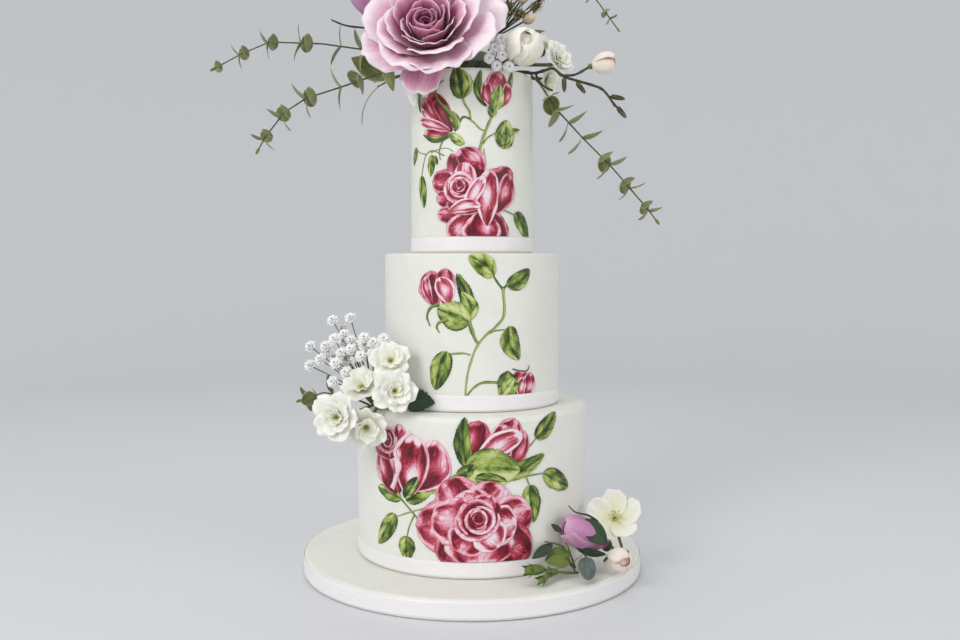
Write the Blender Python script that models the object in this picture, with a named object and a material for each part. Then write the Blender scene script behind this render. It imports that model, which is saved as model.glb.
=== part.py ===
"""A three-tier iced wedding cake on its iced drum board, with ribbons and three groups of flowers."""

import math

import bmesh
import bpy
from mathutils import Matrix, Vector

# Sizes of the cake, in metres
MM = 0.001
TOUCH = 0.3 * MM
ROUND_STEPS = 32
EDGE_STEPS = 2
BOARD_RADIUS = 152.0 * MM
BOARD_THICKNESS = 12.0 * MM
BOARD_TOP = 17.0 * MM
BOARD_EDGE = 3.0 * MM
BOARD_RIBBON = 15.0 * MM
RIBBON_WIDTH = 13.5 * MM
RIBBON_THICKNESS = 0.5 * MM
RIBBON_LIFT = 0.8 * MM
TIERS = {
    "bottom_tier": {"radius": 103.5 * MM, "height": 133 * MM, "edge": 5.5 * MM},
    "middle_tier": {"radius": 78.0 * MM, "height": 133 * MM, "edge": 2.2 * MM},
    "top_tier": {"radius": 54.3 * MM, "height": 156 * MM, "edge": 3.5 * MM},
}
LEDGE = BOARD_TOP + TIERS["bottom_tier"]["height"]
CAKE_TOP = BOARD_TOP + sum(tier["height"] for tier in TIERS.values())

# Colours of the sub-parts
WHITE_ICING = (0.86, 0.85, 0.80)
RIBBON_WHITE = (0.82, 0.81, 0.80)
BOARD_SILVER = (0.70, 0.71, 0.72)
ROSE_PINK = (0.72, 0.36, 0.48)
LILAC = (0.58, 0.32, 0.50)
PETAL_WHITE = (0.85, 0.86, 0.80)
CREAM = (0.80, 0.74, 0.66)
LEAF_GREEN = (0.20, 0.28, 0.12)
SAGE_GREEN = (0.33, 0.38, 0.22)
DARK_GREEN = (0.05, 0.11, 0.06)
BRONZE_GREEN = (0.24, 0.22, 0.12)


def clear_scene():
    for thing in list(bpy.data.objects):
        bpy.data.objects.remove(thing, do_unlink=True)


def material(name, colour, roughness, metallic=0.0):
    made = bpy.data.materials.new(name)
    made.use_nodes = True
    shader = made.node_tree.nodes["Principled BSDF"]
    shader.inputs["Base Color"].default_value = (*colour, 1.0)
    shader.inputs["Roughness"].default_value = roughness
    shader.inputs["Metallic"].default_value = metallic
    return made


def link(name, mesh, finish=None):
    thing = bpy.data.objects.new(name, mesh)
    bpy.context.scene.collection.objects.link(thing)
    if finish:
        mesh.materials.clear()
        mesh.materials.append(finish)
    return thing


def mesh_from(bm, name="piece"):
    bmesh.ops.recalc_face_normals(bm, faces=bm.faces[:])
    mesh = bpy.data.meshes.new(name)
    bm.to_mesh(mesh)
    bm.free()
    return mesh


def smooth(mesh, angle=40):
    mesh.shade_smooth()
    mesh.set_sharp_from_angle(angle=math.radians(angle))


# Turned shapes


def turned(profile, steps=ROUND_STEPS):
    """A closed solid of revolution about Z. The profile runs from axis to axis, or is a closed ring."""
    bm = bmesh.new()
    closed = profile[0][0] > 1e-9
    points = [bm.verts.new((radius, 0, height)) for radius, height in profile]
    edges = [bm.edges.new(pair) for pair in zip(points, points[1:])]
    if closed:
        edges.append(bm.edges.new((points[-1], points[0])))
    bmesh.ops.spin(
        bm,
        geom=points + edges,
        axis=(0, 0, 1),
        cent=(0, 0, 0),
        angle=2 * math.pi,
        steps=steps,
        use_merge=True,
    )
    bmesh.ops.remove_doubles(bm, verts=bm.verts[:], dist=0.01 * MM)
    return mesh_from(bm)


def rounded_edge(radius, top, edge, steps=EDGE_STEPS):
    """Points of a quarter round from the side at radius to the top face."""
    return [
        (radius - edge + edge * math.cos(angle), top - edge + edge * math.sin(angle))
        for angle in (step * math.pi / 2 / steps for step in range(steps + 1))
    ]


def iced_tier(name, base, radius, height, edge, finish):
    """One tier: a straight-sided cake under icing that rounds over at the top."""
    profile = [(0, base), (radius, base)]
    profile += rounded_edge(radius, base + height, edge)
    profile.append((0, base + height))
    thing = link(name, turned(profile), finish)
    smooth(thing.data, 30)
    return thing


def ribbon(name, base, radius, width, finish):
    """A flat ribbon wrapped round a side, clear of it by the touching gap."""
    inner = radius + TOUCH
    outer = inner + RIBBON_THICKNESS
    ring = [(inner, base), (outer, base), (outer, base + width), (inner, base + width)]
    thing = link(name, turned(ring), finish)
    smooth(thing.data, 30)
    return thing


def build_cake(finishes):
    """The drum, its icing and ribbon, then each tier with its ribbon."""
    drum = [(0, 0), (BOARD_RADIUS, 0), (BOARD_RADIUS, BOARD_THICKNESS), (0, BOARD_THICKNESS)]
    smooth(link("cake_drum", turned(drum), finishes["board"]).data, 30)
    base = BOARD_THICKNESS + TOUCH
    icing = [(0, base), (BOARD_RADIUS, base)]
    icing += rounded_edge(BOARD_RADIUS, BOARD_TOP, BOARD_EDGE)
    icing.append((0, BOARD_TOP))
    smooth(link("drum_icing", turned(icing), finishes["icing"]).data, 30)
    ribbon("drum_ribbon", RIBBON_LIFT, BOARD_RADIUS, BOARD_RIBBON, finishes["ribbon"])
    base = BOARD_TOP
    for name, size in TIERS.items():
        foot = base + TOUCH
        iced_tier(name, foot, size["radius"], size["height"] - TOUCH, size["edge"], finishes["icing"])
        band = name.replace("tier", "ribbon")
        ribbon(band, foot + RIBBON_LIFT, size["radius"], RIBBON_WIDTH, finishes["ribbon"])
        base += size["height"]


# Thin bent sheets: petals and leaves. Their tables give lengths in millimetres and angles in degrees.


def frame(origin, direction, facing=(0, 0, 1)):
    """A matrix from millimetres in a piece's own frame: +Z along direction, +Y towards facing."""
    along = Vector(direction).normalized()
    across = Vector(facing).cross(along)
    if across.length < 0.05:
        across = Vector((1, 0.3, 0)).cross(along)
    across.normalize()
    turn = Matrix((across, along.cross(across), along)).transposed().to_4x4()
    return Matrix.Translation(Vector(origin) * MM) @ turn @ Matrix.Scale(MM, 4)


def sheet(point, columns, rows, thickness, place):
    """A closed thin solid: a grid bent by point(across, along), split into triangles, with a thickness."""
    bm = bmesh.new()
    bmesh.ops.create_grid(bm, x_segments=columns, y_segments=rows, size=1.0)
    for vertex in bm.verts:
        vertex.co = point(vertex.co.x, (vertex.co.y + 1) / 2)
    bmesh.ops.remove_doubles(bm, verts=bm.verts[:], dist=0.02)
    bmesh.ops.triangulate(bm, faces=bm.faces[:])
    bmesh.ops.solidify(bm, geom=bm.faces[:], thickness=thickness)
    bmesh.ops.transform(bm, matrix=place, verts=bm.verts[:])
    return mesh_from(bm)


def petal_point(petal, across, along):
    """A petal grows from the flower's axis and bends away from it along an arc, with a curled lip."""
    reach = along * (1 - petal["tip"] * across * across)
    start = math.radians(petal["start"])
    end = math.radians(petal["end"])
    if abs(end - start) < 0.01:
        end = start + 0.01
    angle = start + (end - start) * reach
    radius = petal["root"] + petal["length"] * (math.cos(start) - math.cos(angle)) / (end - start)
    height = petal["rise"] + petal["length"] * (math.sin(angle) - math.sin(start)) / (end - start)
    curl = max(0.0, reach - 0.7) / 0.3
    radius += petal["lip"] * curl * curl
    height -= 0.55 * petal["lip"] * curl * curl
    radius += petal["lap"] * across * reach
    ripple = math.pi * petal["waves"] * across + petal["phase"]
    height += petal["ruffle"] * reach * reach * math.sin(ripple)
    breadth = math.sin(min(1.0, along / petal["broad"]) * math.pi / 2)
    swing = across * petal["width"] / 2 * breadth / max(radius, 0.18 * petal["width"])
    return Vector((radius * math.cos(swing), radius * math.sin(swing), height))


def petal(**changes):
    """A petal's values: lengths in mm, angles from the flower's axis in degrees."""
    values = {
        "length": 20, "width": 18, "start": 60, "end": 60, "lip": 0, "lap": 1.0, "broad": 0.65,
        "root": 2, "rise": 1, "tip": 0.16, "ruffle": 0, "waves": 2, "phase": 0,
    }
    values.update(changes)
    return values


def petals(ring, place):
    """A ring of petals round the flower's axis. Those on its lower side are closed by some degrees more."""
    made = []
    columns, rows = ring.get("grid", (4, 3))
    for number in range(ring["count"]):
        turn = math.radians(ring["turn"]) + number * 2 * math.pi / ring["count"]
        values = petal(**ring["petal"])
        values["phase"] = 2.1 * number + ring["turn"]
        values["length"] *= 1 + 0.07 * math.sin(1.9 * number + ring["turn"])
        closing = ring.get("close", 0) * max(0.0, -math.sin(turn))
        values["start"] -= closing
        values["end"] -= closing
        spot = place @ Matrix.Rotation(turn, 4, "Z")
        made.append(
            sheet(
                lambda across, along: petal_point(values, across, along),
                columns,
                rows,
                ring.get("thickness", 1.2),
                spot,
            )
        )
    return made


def leaf_point(leaf, across, along):
    """A leaf grows along +Z, droops towards -Y and folds up along its midrib."""
    half = leaf["width"] / 2 * math.sin(math.pi * along ** leaf["belly"]) ** leaf["blunt"]
    if along in (0, 1):
        half = 0
    bend = math.radians(leaf["droop"]) or 0.01
    side = across * half
    lift = leaf["fold"] * abs(side) + leaf["wave"] * across * math.sin(5 * along + leaf["width"])
    return Vector(
        (
            side,
            -leaf["length"] * (1 - math.cos(bend * along)) / bend + (lift if half else 0),
            leaf["length"] * math.sin(bend * along) / bend,
        )
    )


def leaf(place, columns=2, rows=3, thickness=0.9, **changes):
    values = {"length": 20, "width": 10, "droop": 20, "fold": 0.15, "wave": 0.4, "belly": 0.85, "blunt": 0.8}
    values.update(changes)
    return sheet(lambda across, along: leaf_point(values, across, along), columns, rows, thickness, place)


# Stems and joined pieces


def smooth_path(points, steps=3):
    """Points of a smooth curve through the given ones, in millimetres."""
    known = [Vector(point) for point in points]
    ends = [2 * known[0] - known[1], *known, 2 * known[-1] - known[-2]]
    found = []
    for before, here, after, beyond in zip(ends, ends[1:], ends[2:], ends[3:]):
        for step in range(steps):
            share = step / steps
            found.append(
                0.5
                * (
                    2 * here
                    + (after - before) * share
                    + (2 * before - 5 * here + 4 * after - beyond) * share**2
                    + (3 * here - before - 3 * after + beyond) * share**3
                )
            )
    return [*found, known[-1]]


def along_path(points, share):
    """The point and the direction at a share of the length of a line of points."""
    lengths = [(after - before).length for before, after in zip(points, points[1:])]
    left = share * sum(lengths)
    for before, after, length in zip(points, points[1:], lengths):
        if left <= length:
            return before.lerp(after, left / length), (after - before).normalized()
        left -= length
    return points[-1], (points[-1] - points[-2]).normalized()


def tube(points, thick, thin):
    """A round stem along the points, tapering from thick to thin, both radii in millimetres."""
    curve = bpy.data.curves.new("stem", "CURVE")
    curve.dimensions = "3D"
    curve.bevel_depth = MM
    curve.bevel_resolution = 0
    curve.use_fill_caps = True
    spline = curve.splines.new("POLY")
    spline.points.add(len(points) - 1)
    for number, (knot, point) in enumerate(zip(spline.points, points)):
        knot.co = (*(Vector(point) * MM), 1)
        knot.radius = thick + (thin - thick) * number / (len(points) - 1)
    holder = link("stem", curve)
    mesh = bpy.data.meshes.new_from_object(holder)
    bpy.data.objects.remove(holder, do_unlink=True)
    bm = bmesh.new()
    bm.from_mesh(mesh)
    bmesh.ops.remove_doubles(bm, verts=bm.verts[:], dist=0.01 * MM)
    return mesh_from(bm)


def ball(origin, size, direction=(0, 0, 1), detail=1, flat=False):
    """An egg of half-sizes size in mm. A flat one rests on its middle."""
    bm = bmesh.new()
    bmesh.ops.create_icosphere(bm, subdivisions=detail, radius=1.0)
    if flat:
        whole = bm.verts[:] + bm.edges[:] + bm.faces[:]
        bmesh.ops.bisect_plane(bm, geom=whole, plane_co=(0, 0, 0), plane_no=(0, 0, 1), clear_inner=True)
        bmesh.ops.holes_fill(bm, edges=bm.edges[:])
    place = frame(origin, direction) @ Matrix.Diagonal((*size, 1))
    bmesh.ops.transform(bm, matrix=place, verts=bm.verts[:])
    return mesh_from(bm)


def keep_outer_shell(bm):
    """Drops what a union leaves inside or loose, so that one closed shell stays."""
    waiting = set(bm.faces)
    shells = []
    while waiting:
        shell = set()
        front = [waiting.pop()]
        while front:
            face = front.pop()
            shell.add(face)
            for edge in face.edges:
                for other in edge.link_faces:
                    if other in waiting:
                        waiting.discard(other)
                        front.append(other)
        shells.append(shell)
    volumes = [
        sum(face.calc_center_median().dot(face.normal) * face.calc_area() for face in shell)
        for shell in shells
    ]
    outer = shells[volumes.index(max(volumes))]
    bmesh.ops.delete(bm, geom=[face for face in bm.faces if face not in outer], context="FACES")


def fused(name, meshes, finish):
    """One solid from closed pieces that overlap, joined by one union."""
    mesh = meshes[0]
    if len(meshes) > 1:
        group = bpy.data.collections.new(name)
        bpy.context.scene.collection.children.link(group)
        for other in meshes[1:]:
            group.objects.link(bpy.data.objects.new("part", other))
        holder = link("whole", mesh)
        join = holder.modifiers.new("join", "BOOLEAN")
        join.operation = "UNION"
        join.solver = "EXACT"
        join.operand_type = "COLLECTION"
        join.collection = group
        bpy.context.view_layer.update()
        graph = bpy.context.evaluated_depsgraph_get()
        mesh = bpy.data.meshes.new_from_object(holder.evaluated_get(graph))
        for thing in [holder, *group.objects]:
            bpy.data.objects.remove(thing, do_unlink=True)
        bpy.data.collections.remove(group)
    bm = bmesh.new()
    bm.from_mesh(mesh)
    bmesh.ops.triangulate(bm, faces=bm.faces[:])
    bmesh.ops.remove_doubles(bm, verts=bm.verts[:], dist=0.004 * MM)
    bmesh.ops.dissolve_degenerate(bm, dist=0.002 * MM, edges=bm.edges[:])
    bmesh.ops.triangulate(bm, faces=bm.faces[:])
    keep_outer_shell(bm)
    made = bpy.data.meshes.new(name)
    bm.to_mesh(made)
    bm.free()
    thing = link(name, made, finish)
    smooth(made, 50)
    return thing


# Flowers: a heart of a radius and a height in mm, with rings of petals or lobed sheets round it

BIG_ROSE = {
    "heart": (8, 15),
    "rings": [
        {"count": 2, "turn": 28, "grid": (2, 2), "petal": {"length": 37, "width": 31, "start": 41, "end": -22,
                                                          "lap": 2.3}},
        {"count": 4, "turn": 50, "grid": (2, 2), "petal": {"length": 43, "width": 36, "start": 56, "end": -2,
                                                          "lap": 3, "lip": 4}},
        {"count": 4, "turn": 20, "grid": (3, 2), "close": 5, "petal": {
            "length": 52, "width": 50, "start": 70, "end": 20, "lap": 3, "lip": 7}},
        {"count": 4, "turn": 65, "grid": (3, 2), "close": 12, "petal": {
            "length": 59, "width": 60, "start": 84, "end": 40, "lap": 3, "lip": 7, "ruffle": 2}},
        {"count": 4, "turn": 20, "grid": (3, 2), "close": 24, "petal": {
            "length": 59, "width": 56, "start": 92, "end": 62, "lap": 3, "lip": 5, "ruffle": 3}},
        {"count": 1, "turn": 258, "grid": (3, 2), "petal": {"length": 48, "width": 34, "start": 100, "end": 84,
                                                           "lap": 2, "ruffle": 1}},
    ],
}
ROSEBUD = {
    "heart": (7.5, 17),
    "rings": [{"count": 3, "turn": 40, "grid": (2, 2), "petal": {"length": 54, "width": 38, "start": 50, "end": -38,
                                                                "lap": 1.8, "lip": 1.5, "broad": 0.4}}],
}
PEONY = {
    "heart": (12, 18),
    "rings": [{"count": 3, "turn": 50, "grid": (2, 2), "petal": {"length": 54, "width": 44, "start": 78, "end": -64,
                                                                "lap": 2.2, "broad": 0.5}}],
}
ROUND_BUD = {
    "heart": (8, 10),
    "rings": [{"count": 3, "turn": 0, "grid": (2, 3), "petal": {"length": 31, "width": 20, "start": 76, "end": -58,
                                                               "lap": 1.5, "root": 1}}],
}
DOUBLE_BLOSSOM = {
    "heart": (3, 3),
    "sheets": [
        {"lobes": 5, "turn": 0, "length": 24, "start": 60, "end": 84, "ruffle": 2.0, "notch": 0.22},
        {"lobes": 3, "turn": 30, "length": 14, "start": 25, "end": 50, "ruffle": 1.0, "notch": 0.25, "rows": 1},
    ],
}
SINGLE_BLOSSOM = {
    "heart": (4.5, 5),
    "sheets": [{"lobes": 5, "turn": 0, "length": 24, "start": 60, "end": 84, "ruffle": 2.0, "notch": 0.22}],
}
CUPPED_BLOSSOM = {
    "heart": (3, 4),
    "sheets": [{"lobes": 5, "turn": 0, "length": 29, "start": 75, "end": 34, "ruffle": 1.5, "notch": 0.24}],
}


def lobed_point(sheet, turn, along):
    """A point of a lobed sheet: turn runs 0 to 1 round the flower and along 0 to 1 outwards."""
    start = math.radians(sheet["start"])
    end = math.radians(sheet["end"])
    dip = abs(math.cos(math.pi * turn * sheet["lobes"])) ** 3
    reach = along * (1 - sheet["notch"] * dip * along)
    angle = start + (end - start) * reach
    radius = sheet["length"] * (math.cos(start) - math.cos(angle)) / (end - start)
    height = 1 + sheet["length"] * (math.sin(angle) - math.sin(start)) / (end - start)
    height += sheet["ruffle"] * along * along * math.sin(math.tau * turn * 3 + sheet["length"]) - 1.5 * dip * along
    swing = math.tau * turn + math.radians(sheet["turn"])
    return Vector((radius * math.cos(swing), radius * math.sin(swing), height))


def lobed_sheet(sheet, place, steps=3, thickness=1.0):
    """A closed thin solid of petals joined at their feet, as a silk blossom's are."""
    around = steps * sheet["lobes"]
    rows = sheet.get("rows", 2)
    bm = bmesh.new()
    centre = bm.verts.new((0, 0, 1))
    rings = [
        [bm.verts.new(lobed_point(sheet, step / around, row / rows)) for step in range(around)]
        for row in range(1, rows + 1)
    ]
    for step in range(around):
        after = (step + 1) % around
        bm.faces.new((centre, rings[0][step], rings[0][after]))
        for inner, outer in zip(rings, rings[1:]):
            bm.faces.new((inner[step], outer[step], outer[after], inner[after]))
    bmesh.ops.triangulate(bm, faces=bm.faces[:])
    bmesh.ops.solidify(bm, geom=bm.faces[:], thickness=thickness)
    bmesh.ops.transform(bm, matrix=place, verts=bm.verts[:])
    return mesh_from(bm)


def bloom(flower, place, scale=1.0):
    """The meshes of a flower: its heart, its rings of petals and its lobed sheets."""
    radius, height = flower["heart"]
    spot = place @ Matrix.Scale(scale, 4)
    core = bmesh.new()
    bmesh.ops.create_icosphere(core, subdivisions=1 if radius < 9 else 2, radius=1.0)
    bmesh.ops.scale(core, vec=(radius, radius, height), verts=core.verts[:])
    bmesh.ops.translate(core, vec=(0, 0, height * 0.85), verts=core.verts[:])
    bmesh.ops.transform(core, matrix=spot, verts=core.verts[:])
    made = [mesh_from(core)]
    for ring in flower.get("rings", ()):
        made += petals(ring, spot)
    for sheet in flower.get("sheets", ()):
        made.append(lobed_sheet(sheet, spot))
    return made


def flower(name, kind, origin, direction, finish, root=None, via=(), scale=1.0, turn=0.0, stem=1.6):
    """One flower facing a direction, with its stem running back to a root."""
    place = frame(origin, direction) @ Matrix.Rotation(math.radians(turn), 4, "Z")
    meshes = bloom(kind, place, scale)
    if root:
        way = Vector(direction).normalized()
        points = [Vector(origin) + way * 3, Vector(origin) - way * 7, *via, root]
        meshes.append(tube(smooth_path(points, 1), stem, stem))
    return fused(name, meshes, finish)


def pair_share(number, pairs, first):
    """Where along a sprig a pair of leaves sits: each second pair is close behind the one before it."""
    step = (number // 2 + 0.67 * (number % 2)) / (pairs / 2)
    return first + (1 - first) * step**0.87


def sprig(name, path, pairs, sizes, finish, first, early=(), stem=(0.9, 0.5), tip=2.2):
    """A eucalyptus sprig: pairs of round leaves, turned by turns, and early pairs of a share and a turn."""
    line = smooth_path(path, 1)
    meshes = [tube(line, *stem)]
    places = [(share, turn, sizes[0]) for share, turn in early]
    for number in range(pairs):
        size = sizes[0] + (sizes[1] - sizes[0]) * number / (pairs - 1)
        places.append((pair_share(number, pairs, first), 78 * (number % 2), size))
    for number, (share, turn, size) in enumerate(places):
        spot, forward = along_path(line, share)
        side = Vector((0, -1, 0.1)).cross(forward).normalized()
        side.rotate(Matrix.Rotation(math.radians(turn), 3, forward))
        for sign in (1, -1):
            lay = math.radians(62 - 0.2 * turn + 9 * math.sin(3.1 * number + sign))
            direction = forward * math.cos(lay) + side * (sign * math.sin(lay))
            meshes.append(
                leaf(
                    frame(spot + side * (sign * 0.4), direction, forward),
                    columns=1,
                    rows=2,
                    thickness=0.8,
                    length=size,
                    width=size * 0.88,
                    droop=24,
                    fold=0.1,
                    wave=0,
                    belly=0.8,
                    blunt=0.7,
                )
            )
    end, forward = along_path(line, 1.0)
    meshes.append(ball(end, (tip * 0.7, tip * 0.7, tip * 1.5), forward))
    return fused(name, meshes, finish)


def lone_leaf(name, stalk, direction, facing, finish, stem=0.9, **shape):
    """One leaf on a stalk that runs back to the group it belongs to."""
    line = smooth_path(stalk, 1)
    blade = leaf(frame(line[-1] - (line[-1] - line[-2]) * 0.4, direction, facing), **shape)
    return fused(name, [tube(line, stem, stem * 0.8), blade], finish)


# Small flowers in heaps


def heads(spots, size, root, squash=0.75):
    """Small flower heads, each on a thin stem from a root."""
    meshes = [ball(root, (3.4, 3.4, 3.4))]
    for spot in spots:
        reach = Vector(spot) - Vector(root)
        place = frame(spot, reach)
        head = bmesh.new()
        bmesh.ops.create_uvsphere(head, u_segments=5, v_segments=2, radius=1.0)
        bmesh.ops.scale(head, vec=(size, size, size * squash), verts=head.verts[:])
        bmesh.ops.triangulate(head, faces=head.faces[:])
        bmesh.ops.transform(head, matrix=place, verts=head.verts[:])
        meshes.append(mesh_from(head))
        stem = bmesh.new()
        bmesh.ops.create_cone(stem, cap_ends=True, segments=3, radius1=0.9, radius2=0.8, depth=reach.length)
        bmesh.ops.translate(stem, vec=(0, 0, -reach.length / 2), verts=stem.verts[:])
        bmesh.ops.transform(stem, matrix=place, verts=stem.verts[:])
        meshes.append(mesh_from(stem))
    return meshes


# The posy on the top tier

MOUND = {"centre": (5, 6, CAKE_TOP / MM + 0.3), "size": (25, 25, 25)}
WAXFLOWERS = [(24.5, -56, 462), (19.5, -56, 455), (26, -58, 448), (21.5, -55, 440), (31.5, -56, 439),
              (17, -54, 463), (15, -56, 446)]
DRIED_HEADS = [(32, -26, 496), (41, -22, 491), (50, -20, 487), (56, -18, 498), (35, -20, 510), (45, -22, 505),
               (62, -14, 508), (50, -16, 519)]


def mound_edge(azimuth, height):
    """A point just outside the mound: azimuth in degrees from the front, positive to the right."""
    turn = math.radians(azimuth)
    rise = math.radians(height)
    size = [half + 1.9 for half in MOUND["size"]]
    centre = MOUND["centre"]
    return (
        centre[0] + size[0] * math.sin(turn) * math.cos(rise),
        centre[1] - size[1] * math.cos(turn) * math.cos(rise),
        centre[2] + size[2] * math.sin(rise),
    )


def build_posy(finishes):
    """The big rose and what is wired round it, on a mound in the middle of the top tier."""
    fused("posy_mound", [ball(MOUND["centre"], MOUND["size"], detail=2, flat=True)], finishes["leaf"])
    flower("top_rose", BIG_ROSE, (-34, -46, 461), (-0.1, -0.88, 0.42), finishes["rose"], mound_edge(-30, 45),
           stem=3)
    flower("top_rosebud", ROSEBUD, (-80, -12, 489), (-0.62, -0.18, 0.76), finishes["lilac"], mound_edge(-96, 52),
           scale=0.8)
    flower("top_peony", PEONY, (42.7, -33, 452), (0.1, -0.85, 0.2), finishes["cream"], mound_edge(42, 22), scale=0.8)
    flower("top_blossom_right", DOUBLE_BLOSSOM, (74, -8, 453), (0.6, -0.7, 0.3), finishes["white"],
           mound_edge(92, 32), scale=0.75)
    flower("top_blossom_behind", SINGLE_BLOSSOM, (64, 14, 468), (0.35, -0.4, 0.8), finishes["white"],
           mound_edge(112, 45), scale=0.7)
    flower("top_blossom_low", SINGLE_BLOSSOM, (66, 16, 441), (0.8, -0.5, -0.25), finishes["white"],
           mound_edge(118, 10), scale=0.7)
    sprig("eucalyptus_upper_left",
          [mound_edge(-88, 24), (-60, -4, 462), (-96, -14, 462), (-131, -18, 466), (-175, -25, 466), (-198, -30, 455),
           (-222, -34, 441)], 8, (19, 11), finishes["sage"], first=0.46, early=[(0.37, 0)])
    sprig("eucalyptus_lower_left",
          [mound_edge(-62, 6), (-48, -24, 445), (-74, -33, 439), (-112, -38, 425), (-141, -42, 415), (-159, -47, 402),
           (-174, -52, 381), (-180, -55, 369)], 7, (20, 12), finishes["sage"], first=0.52, early=[(0.42, 50)])
    sprig("eucalyptus_right",
          [mound_edge(84, 6), (50, -8, 444), (60, -18, 431), (73, -26, 409), (96, -31, 383), (120, -37, 358),
           (152, -42, 320), (159, -45, 310)], 7, (19, 12), finishes["sage"], first=0.51,
          early=[(0.27, 84), (0.34, 48), (0.42, 0)])
    sprig("eucalyptus_trailing",
          [mound_edge(60, 66), (38, 6, 500), (70, -2, 525), (98, -8, 521), (112, -12, 502), (128, -18, 478)],
          5, (12, 7), finishes["sage"], first=0.55, stem=(0.8, 0.5), tip=1.5)
    twig = [mound_edge(-104, 36), (-60, 0, 478), (-86, -4, 482), (-110, -7, 484), (-124, -8, 489)]
    spur = [(-88, -4, 482), (-80, -4, 472), (-74, -3, 466)]
    fused("twig_left", [tube(smooth_path(twig, 1), 1.2, 0.7), tube(spur, 0.9, 0.8)], finishes["dark"])
    build_bud_branch(finishes)
    fused("waxflowers", heads(WAXFLOWERS, 3.7, (19, -24, 443.5)), finishes["white"])
    fused("dried_filler", heads(DRIED_HEADS, 5.6, (16, -6, 471.5), squash=1.2), finishes["bronze"])
    build_posy_leaves(finishes)


def build_bud_branch(finishes):
    """A dark twig with small buds on the right, and the big pale bud at its fork."""
    main = [mound_edge(66, 3), (42, -18, 441.8), (54, -32, 438), (63, -40, 439), (70, -42, 440), (79, -43, 433),
            (101, -45, 426), (112, -46, 421), (122, -49, 407)]
    fork = [(78, -43, 434), (88, -44, 434.5), (98, -47, 439.3)]
    spur = [(55, -33, 438), (58, -34, 431), (63, -34, 426), (70, -33, 423)]
    meshes = [tube(smooth_path(main, 1), 1.4, 1.0), tube(fork, 1.1, 1.1), tube(spur, 1.0, 0.8)]
    buds = [((79, -43.5, 426), (0, 0, -1)), ((93, -45, 423.5), (0.6, 0, -0.8)), ((124, -48.5, 414.5), (1, 0, -0.2)),
            ((127, -50, 402), (0.6, -0.1, -0.8))]
    for spot, direction in buds:
        meshes.append(ball(spot, (2.5, 2.5, 6.5), direction))
    meshes.append(tube([(117, -47.5, 415.5), (122, -48.5, 415)], 0.9, 0.9))
    meshes.append(tube([(79, -43.3, 433), (79, -43.5, 428)], 0.8, 0.8))
    meshes.append(tube([(91, -44.4, 428), (92, -45, 425)], 0.8, 0.8))
    fused("bud_branch", meshes, finishes["dark"])
    flower("branch_bud", ROUND_BUD, (102, -47.5, 441), (0.95, -0.15, 0.2), finishes["cream"], scale=0.8)


def build_posy_leaves(finishes):
    """Single leaves: on the left under the sprigs, two on the right and three at the back."""
    leaves = [
        ("leaf_dark_left", [(-84, 14), (-60, -12, 450), (-86, -22, 440)], (-0.3, -0.1, 1), (0, -1, 0), "dark",
         {"length": 23, "width": 15, "droop": 5}),
        ("leaf_grey_left", [(-94, 3), (-56, 4, 444), (-87, -6, 435)], (-0.85, -0.1, 0.45), (0, -1, 0.3), "sage",
         {"length": 37, "width": 21, "droop": -6}),
        ("leaf_long_left", [(-46, 3), (-42, -35, 441), (-66, -44, 431), (-80, -45, 424)], (-0.85, -0.05, -0.5),
         (-0.45, -0.4, 0.8), "sage", {"length": 42, "width": 6, "droop": 65}),
        ("leaf_small_left", [(-36, 3), (-36, -40, 445), (-62, -50, 449), (-79, -54, 447)], (0.2, -0.1, -0.97),
         (-0.3, -0.9, 0), "sage", {"length": 30, "width": 11, "droop": 8}),
        ("leaf_pale_left", [(-28, 3), (-29, -42, 443), (-45, -49, 436), (-57, -50, 429)], (0.15, -0.05, -1),
         (-0.3, -0.9, 0), "white", {"length": 26, "width": 10, "droop": 5}),
        ("leaf_dark_right", [(0, 4), (5, -34, 443)], (0.25, -0.9, 0.25), (0, 0.3, 1), "dark",
         {"length": 22, "width": 18}),
        ("leaf_bronze_right", [(72, 48), (56, -16, 478)], (0.8, -0.35, 0.4), (0, -0.6, 0.8), "bronze",
         {"length": 24, "width": 12}),
    ]
    for name, (root, *stalk), direction, facing, finish, shape in leaves:
        lone_leaf(name, [mound_edge(*root), *stalk], direction, facing, finishes[finish], **shape)
    for number, azimuth in enumerate((148, 182, 214)):
        turn = math.radians(azimuth)
        way = Vector((math.sin(turn), -math.cos(turn), 0.25))
        start = Vector(mound_edge(azimuth, 12))
        lone_leaf(f"leaf_back_{number + 1}", [start, start + way * 9], way, (0, 0, 1), finishes["dark"],
                  length=30, width=20, droop=35)


# The white flowers on the ledge of the bottom tier

SIDE_ROOT = (-76, -50, LEDGE / MM + 0.3)
GYPSOPHILA = [(-122, -30, 225), (-107, -25, 227), (-115, -20, 217), (-118, -50, 210), (-92, -50, 211),
              (-142, -30, 202), (-127, -40, 203), (-113, -30, 206), (-104, -50, 201), (-84, -52, 207),
              (-74, -62, 211), (-65, -64, 203), (-131, -45, 192), (-116, -58, 190), (-94, -56, 196),
              (-141, -40, 186), (-107, -58, 182), (-118, -60, 174), (-108, -45, 191), (-84, -56, 198)]


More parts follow.
